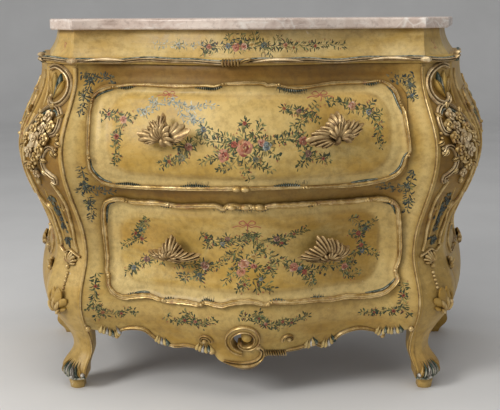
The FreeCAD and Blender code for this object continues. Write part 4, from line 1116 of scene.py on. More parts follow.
def strokes(heap, ground, roots, tips, widths, tints, lift=0.3):
    """Many pointed brush strokes at once, each a thin closed solid; lift is in millimetres."""
    roots, tips = np.asarray(roots, float), np.asarray(tips, float)
    count, rows = len(roots), len(STROKE_TAPER)
    run = tips - roots
    t = np.linspace(0, 1, rows)[:, None]
    bow = rng.uniform(-0.16, 0.16, (count, 1, 1)) * 4 * t * (1 - t)
    path = roots[:, None] + run[:, None] * t - aside(run)[:, None] * bow
    half = np.asarray(widths, float)[:, None] / 2 * STROKE_TAPER
    edge = aside(unit(run))[:, None] * half[..., None]
    places = np.stack([path - edge, path, path + edge], 2)
    high = (lift + rng.uniform(0, 0.25, (count, 1))) * MM + 0 * half
    rim = 0.2 * high - STROKE_DEPTH
    points = on(ground, places, np.stack([rim, high, rim], 2))
    section = rows * 3
    one = grid_faces(rows, 3) + [(0, 1, 2), (section - 1, section - 2, section - 3)]
    faces = [tuple(i + section * k for i in face) for k in range(count) for face in one]
    heap.add(points, faces, FLOWERS, (0.5, 0, 0), np.repeat(np.asarray(tints), section, 0))


def shades(colours, count):
    """Colours picked at random and varied a little."""
    picked = np.array(colours)[rng.integers(0, len(colours), count)]
    return picked * rng.uniform(0.75, 1.25, (count, 1))


def spread(count, jitter):
    """Directions round a circle, from a random start and a little uneven."""
    return rng.uniform(0, 6.3) + np.arange(count) * 2 * np.pi / count + rng.uniform(-jitter, jitter, count)


def ring_of(heap, ground, centre, start, stop, count, width, colours, lift):
    """Strokes fanning out round a centre."""
    way = towards(spread(count, 0.2))
    reach = stop * rng.uniform(0.8, 1.15, (count, 1))
    strokes(heap, ground, centre + way * start, centre + way * reach, np.full(count, width),
            shades(colours, count), lift)


def petals(heap, ground, centre, radius, count, width, colours, lift):
    """Curved strokes round a centre, each lying across its radius like the petals of a rose."""
    turn = spread(count, 0.25)
    sweep = 0.75 * np.pi / count + rng.uniform(0.1, 0.3, count)
    reach = radius * rng.uniform(0.85, 1.12, count)
    roots, tips = (centre + reach[:, None] * towards(turn + side_of * sweep) for side_of in (-1, 1))
    strokes(heap, ground, roots, tips, width * rng.uniform(0.8, 1.2, count), shades(colours, count), lift)


def blossom(heap, ground, x, z, radius, kind, greens=GREENS, leaves=8):
    """Painted flower: leaves, then rounded petals from pale to dark, then the heart."""
    centre = np.array((x, z)) * MM
    r = radius * MM
    outer, inner, heart, light = KINDS[kind]
    ring_of(heap, ground, centre, 0.8 * r, r + 9 * MM, leaves, 7.2 * MM, greens, 0.2)
    ring_of(heap, ground, centre, 0.1 * r, 0.80 * r, 6, 0.95 * r, (inner, outer), 0.4)
    petals(heap, ground, centre, 0.72 * r, 7, 0.52 * r, (outer, outer, light, inner), 0.65)
    petals(heap, ground, centre, 0.38 * r, 5, 0.42 * r, (inner, outer, inner, heart), 0.9)
    ring_of(heap, ground, centre, 0.0, 0.24 * r, 4, 0.26 * r, (heart, inner, light), 1.15)


LEAF_SPACING = 6.6 * MM
BUD_CHANCE = 0.22
BUD_SIZE = 2.6 * MM


def twig(heap, ground, points, greens=GREENS, size=1.0):
    """Painted stem with small loose leaves and buds on both sides, smaller towards its tip."""
    ribbon(heap, ground, smooth(points), 1.0 * MM, 0.35 * MM, FLOWERS, STROKE, 0.05 * MM, 0.4 * MM,
           tint=greens[0])
    path = smooth(points, LEAF_SPACING)
    run = np.gradient(path, axis=0)
    angle = np.arctan2(run[:, 1], run[:, 0])
    roots, tips, widths, buds = [], [], [], []
    for index, (place, turn) in enumerate(zip(path, angle)):
        fade = 1 - 0.3 * index / len(path)
        for hand in (-1, 1):
            for _ in range(rng.integers(1, 3)):
                aim = turn + hand * rng.uniform(0.3, 1.7)
                start = place + towards(aim) * rng.uniform(0.5, 6.5) * MM * size
                start = start + rng.uniform(-1.5, 1.5, 2) * MM
                lean = aim + rng.uniform(-0.7, 0.7)
                reach = rng.uniform(8, 13.5) * MM * size * fade
                roots.append(start)
                tips.append(start + reach * towards(lean))
                widths.append(rng.uniform(5.0, 7.8) * MM * size)
            if rng.random() < BUD_CHANCE and greens is not GHOSTS:
                buds.append(place + rng.uniform(7, 13) * MM * towards(turn + hand * np.pi / 2))
    strokes(heap, ground, roots, tips, widths, shades(greens, len(roots)))
    colours = KINDS["red"][:2] if greens is GREENS else SLATES
    for bud in buds:
        ring_of(heap, ground, bud, 0.0, BUD_SIZE, 3, BUD_SIZE, colours, 0.4)


BOW_LINES = [
    [(0, 0), (-0.5, 0.45), (-0.95, 0.2), (-0.6, -0.1), (0, 0)],
    [(0, 0), (0.5, 0.45), (0.95, 0.2), (0.6, -0.1), (0, 0)],
    [(0, 0), (-0.5, -0.35), (-1.1, -0.2), (-1.7, -0.45)],
    [(0, 0), (0.4, -0.4), (1.0, -0.25), (1.6, -0.5)], [(0, 0), (0.05, -0.5), (-0.05, -0.9)]]
BOW_RED = (0.42, 0.12, 0.07)


def bow(heap, ground, x, z, size):
    """Painted ribbon tied in a bow with two loops and three tails."""
    for line in BOW_LINES:
        path = smooth([(x + a * size, z + b * size) for a, b in line], 2.5 * MM)
        ribbon(heap, ground, path, 2.2 * MM, 0.4 * MM, FLOWERS, STROKE, 0.1 * MM, 0.5 * MM, tint=BOW_RED)


UPPER_TWIGS = [
    [(-345, 694), (-326, 699), (-300, 692), (-289, 686), (-262, 694)],
    [(-289, 686), (-298, 668), (-305, 650), (-307, 628), (-304, 608), (-312, 590)],
    [(-93, 672), (-105, 655), (-128, 637), (-147, 612), (-173, 602), (-198, 592)],
    [(-128, 637), (-160, 634)], [(-8, 640), (-12, 662), (-8, 690)],
    [(-20, 642), (-45, 655), (-78, 669)], [(-25, 635), (-60, 646), (-94, 649)],
    [(-50, 622), (-75, 612), (-100, 606)], [(-20, 620), (-35, 600), (-64, 590)],
    [(-8, 615), (-6, 592), (2, 570)], [(5, 622), (22, 600), (46, 591)],
    [(12, 636), (40, 630), (66, 616)], [(10, 645), (38, 650), (92, 652)],
    [(5, 650), (18, 668), (28, 684)],
    [(62, 647), (89, 656), (109, 650), (119, 635), (130, 620), (149, 610), (176, 607)],
    [(130, 620), (122, 606), (110, 595)], [(77, 716), (110, 709), (130, 701), (152, 690)],
    [(150, 724), (135, 703), (117, 687), (94, 679)], [(117, 690), (108, 668), (119, 648)],
    [
        (171, 730), (196, 727), (217, 724), (235, 716), (258, 706), (276, 698), (290, 679), (300, 662),
        (294, 645), (305, 632)],
    [(270, 702), (284, 722)], [(282, 694), (303, 700)]]
GHOST_TWIGS = [
    [
        (-257, 708), (-236, 704), (-210, 719), (-182, 728), (-149, 724), (-123, 715), (-94, 723),
        (-72, 721)],
    [(-157, 728), (-151, 707), (-138, 693), (-118, 692), (-98, 686)], [(-210, 719), (-222, 735)]]
UPPER_BLOSSOMS = [
    (-289, 686, 12, "pink"), (-326, 699, 6, "rose"), (-305, 650, 8, "red"), (-304, 608, 6, "straw"),
    (-130, 635, 11, "pink"), (-147, 611, 9, "slate"), (-176, 602, 5, "red"), (-97, 672, 8, "blue"),
    (-8, 636, 21, "rose"), (-54, 620, 16, "rose"), (-30, 643, 9, "red"), (-8, 686, 6, "red"),
    (39, 639, 12, "blue"), (28, 646, 10, "pink"), (16, 612, 8, "slate"), (119, 647, 12, "rose"),
    (130, 620, 9, "plum"), (164, 608, 5, "red"), (110, 709, 7, "plum"), (77, 716, 5, "red"),
    (235, 716, 12, "pink"), (275, 701, 9, "blue"), (300, 676, 5, "straw")]
UPPER_GHOSTS = [(-170, 735, 7), (-124, 717, 7), (-121, 692, 7), (-211, 723, 7), (-236, 704, 7)]
LOWER_TWIGS = [
    [(-240, 457), (-258, 428), (-272, 414), (-262, 403), (-284, 397), (-308, 381)],
    [(-262, 428), (-248, 450)], [(-286, 319), (-264, 332), (-245, 347), (-226, 351), (-200, 345)],
    [(-280, 324), (-297, 312)],
    [(-175, 342), (-145, 343), (-122, 348), (-101, 346), (-80, 346), (-57, 358)],
    [(-101, 346), (-114, 321), (-110, 302)], [(-114, 321), (-135, 316), (-163, 313)],
    [(-109, 426), (-79, 414), (-59, 407), (-36, 416), (-5, 424)], [(-79, 414), (-95, 396)],
    [(0, 440), (-18, 408), (-31, 380), (-26, 352), (-41, 329), (-53, 310)],
    [(-16, 329), (-11, 305), (-24, 296)], [(4, 440), (6, 420), (24, 400)], [(-31, 380), (-55, 372)],
    [(2, 436), (32, 414), (62, 418), (85, 424), (103, 430), (126, 440)], [(62, 418), (76, 404)],
    [(9, 392), (30, 388), (48, 377), (58, 364), (48, 348), (54, 330)],
    [(17, 349), (27, 334), (38, 326)],
    [(66, 363), (84, 351), (101, 342), (118, 336), (141, 331), (172, 323)],
    [(126, 327), (139, 311), (147, 292)], [(8, 318), (17, 297), (37, 302), (51, 294)],
    [(168, 341), (184, 336), (206, 334), (225, 329), (247, 334)],
    [(225, 328), (227, 310), (249, 308), (259, 314)], [(233, 419), (259, 415), (275, 431), (299, 446)],
    [(239, 459), (257, 447), (273, 428)], [(259, 415), (267, 395), (268, 372), (249, 360), (232, 342)],
    [(268, 372), (290, 367), (309, 352)]]
LOWER_BLOSSOMS = [
    (-258, 428, 8, "slate"), (-272, 417, 5, "red"), (-257, 402, 7, "red"), (-244, 451, 4, "rose"),
    (-246, 347, 11, "plum"), (-280, 324, 8, "blue"), (-101, 346, 13, "pink"), (-114, 321, 8, "slate"),
    (-148, 313, 6, "straw"), (-48, 421, 8, "plum"), (-59, 407, 7, "blue"), (-97, 421, 5, "red"),
    (-11, 357, 16, "pink"), (-18, 335, 13, "rose"), (-11, 305, 5, "red"), (9, 376, 9, "straw"),
    (10, 350, 9, "rose"), (43, 345, 5, "red"), (62, 420, 9, "plum"), (73, 408, 5, "red"),
    (101, 430, 4, "red"), (101, 342, 14, "rose"), (126, 327, 8, "red"), (115, 337, 7, "blue"),
    (141, 306, 6, "straw"), (225, 329, 11, "rose"), (259, 416, 8, "red"), (276, 428, 7, "slate"),
    (267, 383, 7, "red"), (270, 367, 7, "blue"), (26, 318, 6, "blue")]
CORNER_TWIGS = [
    [(-314, 780), (-333, 784), (-349, 785), (-372, 785), (-390, 791)],
    [(-372, 785), (-374, 769), (-384, 744), (-392, 708)],
    [(330, 779), (345, 781), (365, 778), (378, 768), (379, 752), (384, 736)], [(365, 778), (384, 790)],
    [(-393, 583), (-389, 553), (-386, 528), (-365, 521), (-349, 521), (-322, 519)],
    [(-388, 535), (-399, 520)], [(-385, 505), (-379, 489), (-380, 463), (-383, 450)],
    [(383, 572), (381, 554), (374, 530), (352, 527), (329, 530), (311, 534)],
    [(377, 519), (379, 498), (377, 466)]]
LOW_TWIGS = [
    [
        (-376, 312), (-378, 289), (-380, 261), (-377, 238), (-362, 213), (-339, 207), (-317, 209),
        (-301, 219), (-280, 212)],
    [(-380, 250), (-393, 226)], [(-362, 213), (-380, 200)],
    [(372, 288), (377, 266), (375, 248), (370, 228), (355, 215), (334, 216), (305, 211), (276, 214)],
    [(370, 228), (391, 205)],
    [(-205, 213), (-185, 200), (-157, 206), (-131, 206), (-107, 207), (-81, 219)],
    [(-131, 206), (-141, 221), (-159, 230)], [(-131, 206), (-112, 194)],
    [(0, 234), (22, 226), (38, 210), (58, 206), (79, 214), (100, 208), (118, 218), (141, 222)],
    [(58, 206), (72, 194)], [(22, 226), (20, 240)], [(-25, 236), (-4, 229), (14, 222)]]
FRAME_BLOSSOMS = [
    (-372, 783, 7, "slate"), (-388, 744, 6, "slate"), (378, 766, 7, "slate"), (382, 742, 5, "blue"),
    (-388, 530, 7, "slate"), (-382, 489, 5, "slate"), (374, 529, 7, "slate"), (378, 490, 5, "slate"),
    (-378, 280, 5, "red"), (-362, 213, 6, "red"), (-317, 209, 5, "red"), (374, 256, 5, "red"),
    (352, 215, 6, "red"), (305, 212, 4, "red"), (-157, 206, 5, "red"), (-131, 207, 6, "rose"),
    (38, 210, 6, "rose"), (79, 213, 5, "red"), (100, 208, 4, "red"), (22, 226, 4, "red")]


GHOST_SIZE = 0.8
BRUSH_ANGLE = 80


def build_flowers(name, body, ground, twigs, blossoms, extra=None):
    """One painted decoration of twigs and flowers on a ground."""
    heap = Heap(name, body, "painted_wood", [FLOWERS])
    for greens, lines in twigs:
        for line in lines:
            twig(heap, ground, line, greens, GHOST_SIZE if greens is GHOSTS else 1.0)
    for x, z, radius, kind in blossoms:
        blossom(heap, ground, x, z, radius, kind)
    if extra:
        extra(heap)
    heap.make(BRUSH_ANGLE)


HATCHES = {"upper": [(63, 130, "top"), (-140, -92, "low"), (100, 130, "low")],
           "lower": [(-85, 45, "top"), (-108, -84, "low"), (150, 178, "low")]}


def hatch(heap, level):
    """Short dark brush strokes that fringe the inside of a border."""
    for low, high, zone in HATCHES[level]:
        part = even(along(BORDER_LINE[level], low, high, zone), 3.6 * MM)
        count = len(part)
        down = -1 if zone == "top" else 1
        roots = part + np.array((0, down * 5 * MM))
        tips = roots + np.stack([rng.uniform(-3, 3, count), down * rng.uniform(6, 12, count)], -1) * MM
        strokes(heap, DRAWER_FACE[level], roots, tips, np.full(count, 2.2 * MM), shades(SLATES, count))


BOWS = {"upper": [(-182, 748, 15), (161, 746, 19)], "lower": [(-4, 460, 19)]}


def drawer_extras(level, heap):
    """Faded flowers, bows and the fringe of a drawer front."""
    ground = DRAWER_FACE[level]
    if level == "upper":
        for x, z, radius in UPPER_GHOSTS:
            blossom(heap, ground, x, z, radius, "ghost", GHOSTS, 5)
    for x, z, size in BOWS[level]:
        bow(heap, ground, x, z, size)
    hatch(heap, level)


def build_drawer_flowers():
    """Sprays on the fronts of both drawers."""
    build_flowers("upper_drawer_flowers", "upper_drawer", DRAWER_FACE["upper"],
                  [(GREENS, UPPER_TWIGS), (GHOSTS, GHOST_TWIGS)], UPPER_BLOSSOMS,
                  partial(drawer_extras, "upper"))
    build_flowers("lower_drawer_flowers", "lower_drawer", DRAWER_FACE["lower"],
                  [(GREENS, LOWER_TWIGS)], LOWER_BLOSSOMS, partial(drawer_extras, "lower"))


def build_frame_flowers():
    """Sprays on the stiles and along the apron."""
    build_flowers("front_flowers", "case", wavy_front, [(SLATES, CORNER_TWIGS), (GREENS, LOW_TWIGS)],
                  FRAME_BLOSSOMS)


FRIEZE_TWIGS = [
    (GHOSTS, [[(-232, 860), (-190, 862), (-150, 858), (-110, 861)]]),
    (SLATES, [[(-110, 861), (-70, 857), (-30, 860), (-5, 866)]]),
    (GREENS, [[(-20, 858), (20, 862), (60, 858), (100, 860), (150, 857), (190, 860), (232, 857)],
              [(-40, 864), (-46, 880)], [(-14, 866), (-18, 883)], [(16, 866), (12, 884)],
              [(60, 860), (72, 878)], [(-70, 852), (-105, 846)], [(30, 855), (52, 845)]])]
FRIEZE_BLOSSOMS = [
    (-92, 857, 8, "rose"), (-46, 858, 8, "blue"), (-28, 856, 11, "rose"), (-10, 858, 10, "pink"),
    (8, 862, 8, "straw"), (36, 860, 9, "slate"), (86, 860, 7, "rose"), (106, 854, 4, "red"),
    (160, 857, 5, "red"), (-170, 861, 6, "ghost")]
CORNER_MARK, CORNER_MARKS = (482, 858), 7


def corner_marks(heap):
    """Scattered remains of a rose on each canted corner of the frieze."""
    x, z = CORNER_MARK
    for sign in (-1, 1):
        for _ in range(CORNER_MARKS):
            centre = np.array((sign * (x + rng.uniform(-9, 9)), z + rng.uniform(-12, 12))) * MM
            ring_of(heap, frieze, centre, 0.0, 7 * MM, 2, 4 * MM, KINDS["rose"][:2], 0.3)


def build_frieze_flowers():
    """Long spray of flowers along the middle of the frieze."""
    build_flowers("frieze_flowers", "case", frieze, FRIEZE_TWIGS, FRIEZE_BLOSSOMS, corner_marks)


# ---------------------------------------------------------------- handles
BALL_LOW = 25 * MM
# For each handle: the hub's offset, and its fans as (rim, flutes, low, peak and tip heights).
HANDLE_FANS = {
    ("upper", -1): ((10, -17), [
        ([(100, 26), (114, 45), (138, 46), (160, 60), (172, 58), (188, 26)], 9, 26, 38, 34),
        ([(-14, 24), (-4, 50), (8, 72), (20, 66), (34, 52), (52, 26)], 9, 26, 42, 44),
        ([(56, 20), (67, 40), (82, 56), (97, 45), (116, 22)], 7, 32, 50, 34)]),
    ("upper", 1): ((-2, -15), [
        ([(-24, 24), (2, 52), (16, 72), (30, 56), (43, 46), (66, 44), (92, 55), (118, 44),
          (143, 48), (160, 64), (172, 74), (186, 50), (206, 24)], 22, 28, 46, 32)]),
    ("lower", -1): ((-4, -19), [
        ([(-8, 24), (2, 60), (8, 78), (18, 64), (32, 48), (52, 48), (66, 62), (78, 74), (96, 58),
          (114, 44), (131, 44), (146, 56), (157, 66), (170, 46), (188, 24)], 22, 30, 48, 30)]),
    ("lower", 1): ((2, -22), [
        ([(-6, 24), (10, 52), (22, 68), (36, 58), (52, 62), (70, 64), (86, 70), (98, 80),
          (112, 62), (134, 58), (148, 66), (158, 74), (170, 50), (188, 24)], 22, 30, 48, 30)])}


FLUTE_POINTS, FAN_ROWS = 6, 11
FAN_PEAK = 0.55


def fan(heap, ground, centre, rim, flutes, low, peak, tip, finish, hub=5, thick=4, depth=2.2, swirl=0.12,
        scallop=0.07, crinkle=1.4):
    """Fluted leaf spread from a hub. Rim is (degrees, millimetres) round it; heights are millimetres."""
    columns, rows = flutes * FLUTE_POINTS + 1, FAN_ROWS
    line = smooth(rim, 2 * MM) / MM
    index = np.linspace(0, len(line) - 1, columns)
    degrees, reach = (np.interp(index, np.arange(len(line)), line[:, i]) for i in range(2))
    share = np.linspace(0, 1, columns)
    crest = np.abs(np.sin(np.pi * flutes * share))
    reach = reach * (1 - scallop + scallop * crest)
    ruffle = np.sin(share * 2 * np.pi * flutes / 3.4 + reach[0])
    s = np.linspace(0, 1, rows)[:, None]
    radius = hub + (reach - hub) * s
    height = low + (peak - low) * np.sin(np.pi / 2 * np.minimum(s / FAN_PEAK, 1))
    height = height + (tip - peak) * rising(s, FAN_PEAK, 1 - FAN_PEAK) ** 2 + depth * crest * s ** 0.6
    height = height + crinkle * depth * ruffle * s ** 2
    under = height - thick * (1.6 - s)
    places = np.array(centre) + radius[..., None] * towards(np.radians(degrees) + swirl * s ** 2) * MM
    points = on(ground, np.vstack([places, places[::-1]]), np.vstack([height, under[::-1]]) * MM)
    faces = grid_faces(2 * rows, columns, True, False)
    faces.append(tuple(row * columns for row in range(2 * rows)))
    faces.append(tuple(row * columns + columns - 1 for row in reversed(range(2 * rows))))
    mask = np.zeros((2 * rows, columns, 3))
    # Tone: high on crests, low in valleys and under the leaf, which gilding darkens with painted shade.
    mask[:rows, :, 0] = 0.15 + 0.85 * crest ** 0.8
    mask[rows:, :, 0] = 0.3
    heap.add(points, faces, finish, mask.reshape(-1, 3))


INNER_LEAVES = [(-10, 20), (10, 34), (40, 26), (80, 38), (120, 26), (168, 32), (190, 20)]
LEAF_DROP = 5


def build_handle(level, sign):
    """Carved and gilded leaves spreading from a ball on a stem."""
    name = level + "_drawer_handle_" + side_word(sign)
    heap = Heap(name.replace("handle", "pull"), level + "_drawer", "gilding", [BRONZE], (name,))
    low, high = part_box(name)
    offset, fans = HANDLE_FANS[(level, sign)]
    middle = np.array(((low.x + high.x) / 2, low.z + BALL_LOW))
    hub = middle + np.array(offset) * MM
    face = DRAWER_FACE[level]
    knob(heap, face, middle, 12 * MM, 28 * MM, BRONZE, -4 * MM)
    for rim, flutes, *heights in fans:
        fan(heap, face, hub, rim, flutes, *(h - LEAF_DROP for h in heights), BRONZE, depth=3.0, scallop=0.13,
            crinkle=1.6)
    knob(heap, face, hub, 10 * MM, 17 * MM, BRONZE, 20 * MM)
    fan(heap, face, hub, INNER_LEAVES, 9, 34, 45, 39, BRONZE, thick=6, depth=4, swirl=-0.25, scallop=0.2)
    heap.make(60)


# ---------------------------------------------------------------- posts and legs
CORNER_POINTS = 5
PAD_TOP = 25 * MM
PAD_RADIUS = 21 * MM


def rounded_corner(before, corner, after, radius):
    """Points that round off a corner of a section."""
    before, corner, after = (np.array(p, float) for p in (before, corner, after))
    start, stop = (corner + (end - corner) * min(0.45, radius / max(np.linalg.norm(end - corner), TINY))
                   for end in (before, after))
    t = np.linspace(0, 1, CORNER_POINTS)[:, None]
    return (1 - t) ** 2 * start + 2 * t * (1 - t) * corner + t ** 2 * stop


def post_section(height):
    """Closed outline of the right front post at a height; at the foot it turns into a round pad."""
    back = float(corner_setback(height) + blend(height, RETURN))
    half = 0.5 * float(cant_width(height))
    shares = np.concatenate([[-1], 2 * np.linspace(0.12, 0.90, 9) - 1, [1]])
    face = cant(shares * half, np.full(shares.shape, height))[:, :2]
    first, canted, last = face[0], face[1:-1], face[-1]
    side_back = (float(side_half(height, back)), FEET_LINE + back)
    inner_back = (float(blend(height, FACE)), FEET_LINE + back)
    slim = 2.5 * MM if height > 0.2 else 5 * MM
    section = np.vstack([rounded_corner(inner_back, first, canted[0], slim), canted,
                         rounded_corner(canted[-1], last, side_back, 9 * MM),
                         rounded_corner(last, side_back, inner_back, 3 * MM),
                         rounded_corner(side_back, inner_back, first, 3 * MM)])
    middle = section.mean(0)
    waist = hump(height, PAD_TOP, 5 * MM)
    pad = rising(PAD_TOP - height, 0, 6 * MM)
    spoke = section - middle
    return middle + (spoke * (1 - pad) + PAD_RADIUS * unit(spoke) * pad) * (1 - 0.20 * waist)


def build_post(sign):
    """Front post and leg with all its carving; the left one is the mirror image of the right."""
    word = side_word(sign)
    heap = Heap("carved_post_" + word, "case", "painted_wood",
                [POST, GILT, TEAL, FLOWERS, SILVER, PANEL, PALE_GILT], ("front_post_" + word,))
    levels = np.concatenate([np.arange(0, 0.08, 2.5 * MM), np.arange(0.08, 0.30, 5 * MM),
                             np.arange(0.30, CASE_TOP, 9 * MM), [CASE_TOP]])
    sections = np.array([post_section(level) for level in levels])
    rows, columns = sections.shape[:2]
    tall = levels[:, None]
    points = np.concatenate([sections, np.broadcast_to(tall[..., None], (rows, columns, 1))], -1)
    faces = [face[::-1] for face in grid_faces(rows, columns)]
    faces.append(tuple(reversed(range(columns))))
    faces.append(tuple((rows - 1) * columns + i for i in range(columns)))
    panel = rising(tall, 0.36, 0.05) * (1 - rising(tall, 0.76, 0.04))
    on_cant = np.interp(np.arange(columns), (1, 4, 13, 16), (0, 1, 1, 0))
    mask = np.zeros((rows, columns, 3))
    mask[..., 1] = 0.25 * (tall < 0.42)
    # Painted shade over the canted face's panel, and darker low on the foot.
    mask[..., 2] = 0.75 * panel * on_cant + 0.5 * hump(tall, 0.05, 0.03)
    heap.add(points, faces, POST, mask.reshape(-1, 3))
    for carve in (carve_rolls, carve_ring, carve_arch, carve_flowers, carve_scroll, paint_sprigs, carve_shell,
                  carve_knee, carve_toe):
        carve(heap)
    if sign < 0:
        heap.mirror()
    heap.make()


def post_places(points):
    """Post places given as (share across, height in mm), in millimetres from its middle line."""
    return [((u - 0.5) * float(cant_width(z * MM)) / MM, z) for u, z in points]


def post_place(u, z):
    """One such place, in metres."""
    return np.array(post_places([(u, z)])[0]) * MM


def post_strip(heap, points, width, height, finish, profile=ROUND, taper=False):
    """Strip on the post through places of it; width and height are in millimetres."""
    path = smooth(post_places(points))
    shape = lens(len(path)) if taper else 1.0
    ribbon(heap, cant, path, width * MM * shape, height * MM * shape, finish, profile, -0.5 * MM, 1.5 * MM)


def carve_rolls(heap):
    """Rolled edges of the canted face, the inner one with a gilt line."""
    levels = np.arange(0.040, 0.812, 4 * MM)
    shape = np.sqrt(rising(levels, 0.036, 0.07))
    roll = np.stack([7 * MM - cant_width(levels) / 2, levels], -1)
    ribbon(heap, cant, roll, 14 * MM * shape, 4.5 * MM * shape, POST, ROUND, -1 * MM, 2 * MM, rim=0.12)
    line = roll - np.array((5.5 * MM, 0))
    ribbon(heap, cant, line, 3.2 * MM * shape, 3.6 * MM * shape, GILT, ROUND, 0.5 * MM, 3 * MM)
    levels = np.arange(0.37, 0.70, 4 * MM)
    roll = np.stack([cant_width(levels) / 2 - 6 * MM, levels], -1)
    ribbon(heap, cant, roll, 13 * MM, 5 * MM, POST, ROUND, -1.5 * MM, 2 * MM, rim=0.2)


# Ornament on a post: share across its canted face, and height in millimetres.
RING = [(0.82, 806), (0.60, 812), (0.36, 803), (0.20, 786), (0.14, 764), (0.17, 742), (0.3, 724),
        (0.50, 719), (0.64, 730), (0.62, 744)]
RING_ROOT, RING_MIDDLE = (0.54, 734), 0.56


def carve_ring(heap):
    """C scroll at the top of the post, round a spray of painted leaves."""
    post_strip(heap, RING, 14, 11, PALE_GILT, PAIR)
    for u, z, height, finish in ((0.34, 778, 10, PANEL), (0.80, 780, 10, POST), (0.46, 794, 7, TEAL),
                                 (0.66, 796, 10, PANEL), (0.56, 776, 7, TEAL)):
        leaf(heap, cant, post_place(*RING_ROOT), post_place(u, z), 17 * MM, height * MM, finish,
             0.25 * (RING_MIDDLE - u), 0.6, 2 * MM, under=4 * MM)
    knob(heap, cant, post_place(0.62, 740), 7 * MM, 10 * MM, GILT)
    post_strip(heap, [(0.94, 800), (0.86, 770), (0.80, 742), (0.80, 718)], 9, 6, POST, ROUND, True)


ARCH = [(0.93, 636), (0.90, 662), (0.82, 686), (0.70, 706), (0.52, 719), (0.34, 716), (0.20, 700),
        (0.16, 678), (0.2, 658), (0.3, 652)]
ARCH_LINING = [(0.82, 668), (0.74, 688), (0.62, 703), (0.46, 709), (0.33, 704), (0.25, 690)]
SWAG = [(0.52, 700), (0.46, 672), (0.56, 640), (0.68, 600), (0.66, 556)]


def carve_arch(heap):
    """Arch over the flowers, its blue-green lining, and the swags that carry them."""
    post_strip(heap, ARCH, 10, 9, PALE_GILT, PAIR)
    post_strip(heap, ARCH_LINING, 6, 4, TEAL)
    post_strip(heap, SWAG, 46, 8, GILT, KEEL, True)
    post_strip(heap, [(0.98, 672), (0.95, 648), (0.86, 636)], 12, 9, GILT, KEEL, True)


POST_BLOOMS = (
    (0.42, 692, 12), (0.60, 684, 11), (0.30, 670, 12), (0.47, 664, 13), (0.68, 662, 12),
    (0.36, 642, 12), (0.60, 638, 18), (0.82, 642, 12), (0.44, 618, 12), (0.72, 612, 14),
    (0.56, 598, 12), (0.68, 580, 11), (0.60, 562, 9))
POST_LEAVES = (
    (0.44, 705, 60), (0.28, 690, 150), (0.72, 690, 60), (0.16, 640, 200), (0.88, 628, 330),
    (0.24, 622, 230), (0.50, 600, 200), (0.82, 584, 330), (0.50, 575, 220), (0.66, 552, 280))
POST_LEAF_REACH = 0.024


def carve_flowers(heap):
    """Heap of open flowers under the arch, with leaves between them."""
    for index, (u, z, radius) in enumerate(POST_BLOOMS):
        lift = (6 if 0.3 < u < 0.75 else 3) * MM
        bloom(heap, cant, post_place(u, z), radius * MM, 4 + index % 2, (9 + 2 * (index % 3)) * MM,
              (GILT, PALE_GILT)[index % 3 == 0], base=lift)
    for u, z, turn in POST_LEAVES:
        start = post_place(u, z)
        tip = start + towards(math.radians(turn)) * POST_LEAF_REACH
        leaf(heap, cant, start, tip, 14 * MM, 9 * MM, GILT, 0.2, under=4 * MM, base=1 * MM)


SCROLL = [(0.16, 612), (0.20, 622), (0.30, 624), (0.40, 612), (0.45, 592), (0.42, 572), (0.31, 560),
          (0.22, 553), (0.24, 541), (0.33, 545)]
OUTER_LINE = [(0.90, 632), (0.93, 600), (0.92, 560), (0.91, 520), (0.90, 496), (0.84, 480), (0.76, 468),
              (0.74, 456), (0.80, 430), (0.80, 400), (0.77, 370)]
INNER_LINE = [(0.36, 541), (0.28, 518), (0.22, 494), (0.23, 466), (0.27, 440), (0.29, 416), (0.31, 386),
              (0.26, 360)]


def carve_scroll(heap):
    """Scroll and beads beside the flowers, and the gilt lines and ribs of the waist below them."""
    post_strip(heap, SCROLL, 10, 9, PALE_GILT, PAIR)
    for index in range(5):
        knob(heap, cant, post_place(0.13, 655 - 11 * index), 4.5 * MM, 7 * MM, GILT)
    for line in (OUTER_LINE, INNER_LINE):
        post_strip(heap, line, 7, 7, GILT)
    for spur in ([(0.22, 478), (0.32, 470), (0.35, 484)], [(0.80, 482), (0.70, 472), (0.74, 460)]):
        post_strip(heap, spur, 9, 8, GILT, KEEL, True)
    for u, top, low in ((0.42, 500, 372), (0.66, 520, 372)):
        post_strip(heap, [(u, top), (u + 0.03, (top + low) / 2), (u, low)], 9, 4, POST, ROUND, True)


def paint_sprigs(heap):
    """Dark painted sprigs in the panel of the waist."""
    for sprig in ([(0.62, 500), (0.54, 482), (0.60, 464)], [(0.56, 470), (0.50, 442), (0.56, 416)],
                  [(0.52, 395), (0.58, 380)]):
        twig(heap, painted_post, post_places(sprig), SLATES, 1.1)


def carve_shell(heap):
    """Shell under the waist with a drop of beads."""
    shell = [(50, 16), (70, 30), (95, 36), (125, 36), (150, 30), (170, 22)]
    fan(heap, cant, post_place(0.52, 324), shell, 7, 3, 9, 5, GILT, hub=4, thick=6, depth=3, scallop=0.2)
    post_strip(heap, [(0.82, 366), (0.66, 354), (0.5, 362), (0.34, 354), (0.18, 348)], 7, 8, GILT)
    knob(heap, cant, post_place(0.52, 320), 7 * MM, 9 * MM, GILT)
    for index, radius in enumerate((4.6, 4.0, 4.6, 3.6, 4.2)):
        knob(heap, cant, post_place(0.48, 304 - 9 * index), radius * MM, 6 * MM, GILT)


PLUMES = [(48, 30), (66, 50), (88, 62), (112, 64), (134, 56), (152, 44), (168, 26)]
GILT_PLUMES = [(degrees, 0.66 * reach) for degrees, reach in PLUMES]


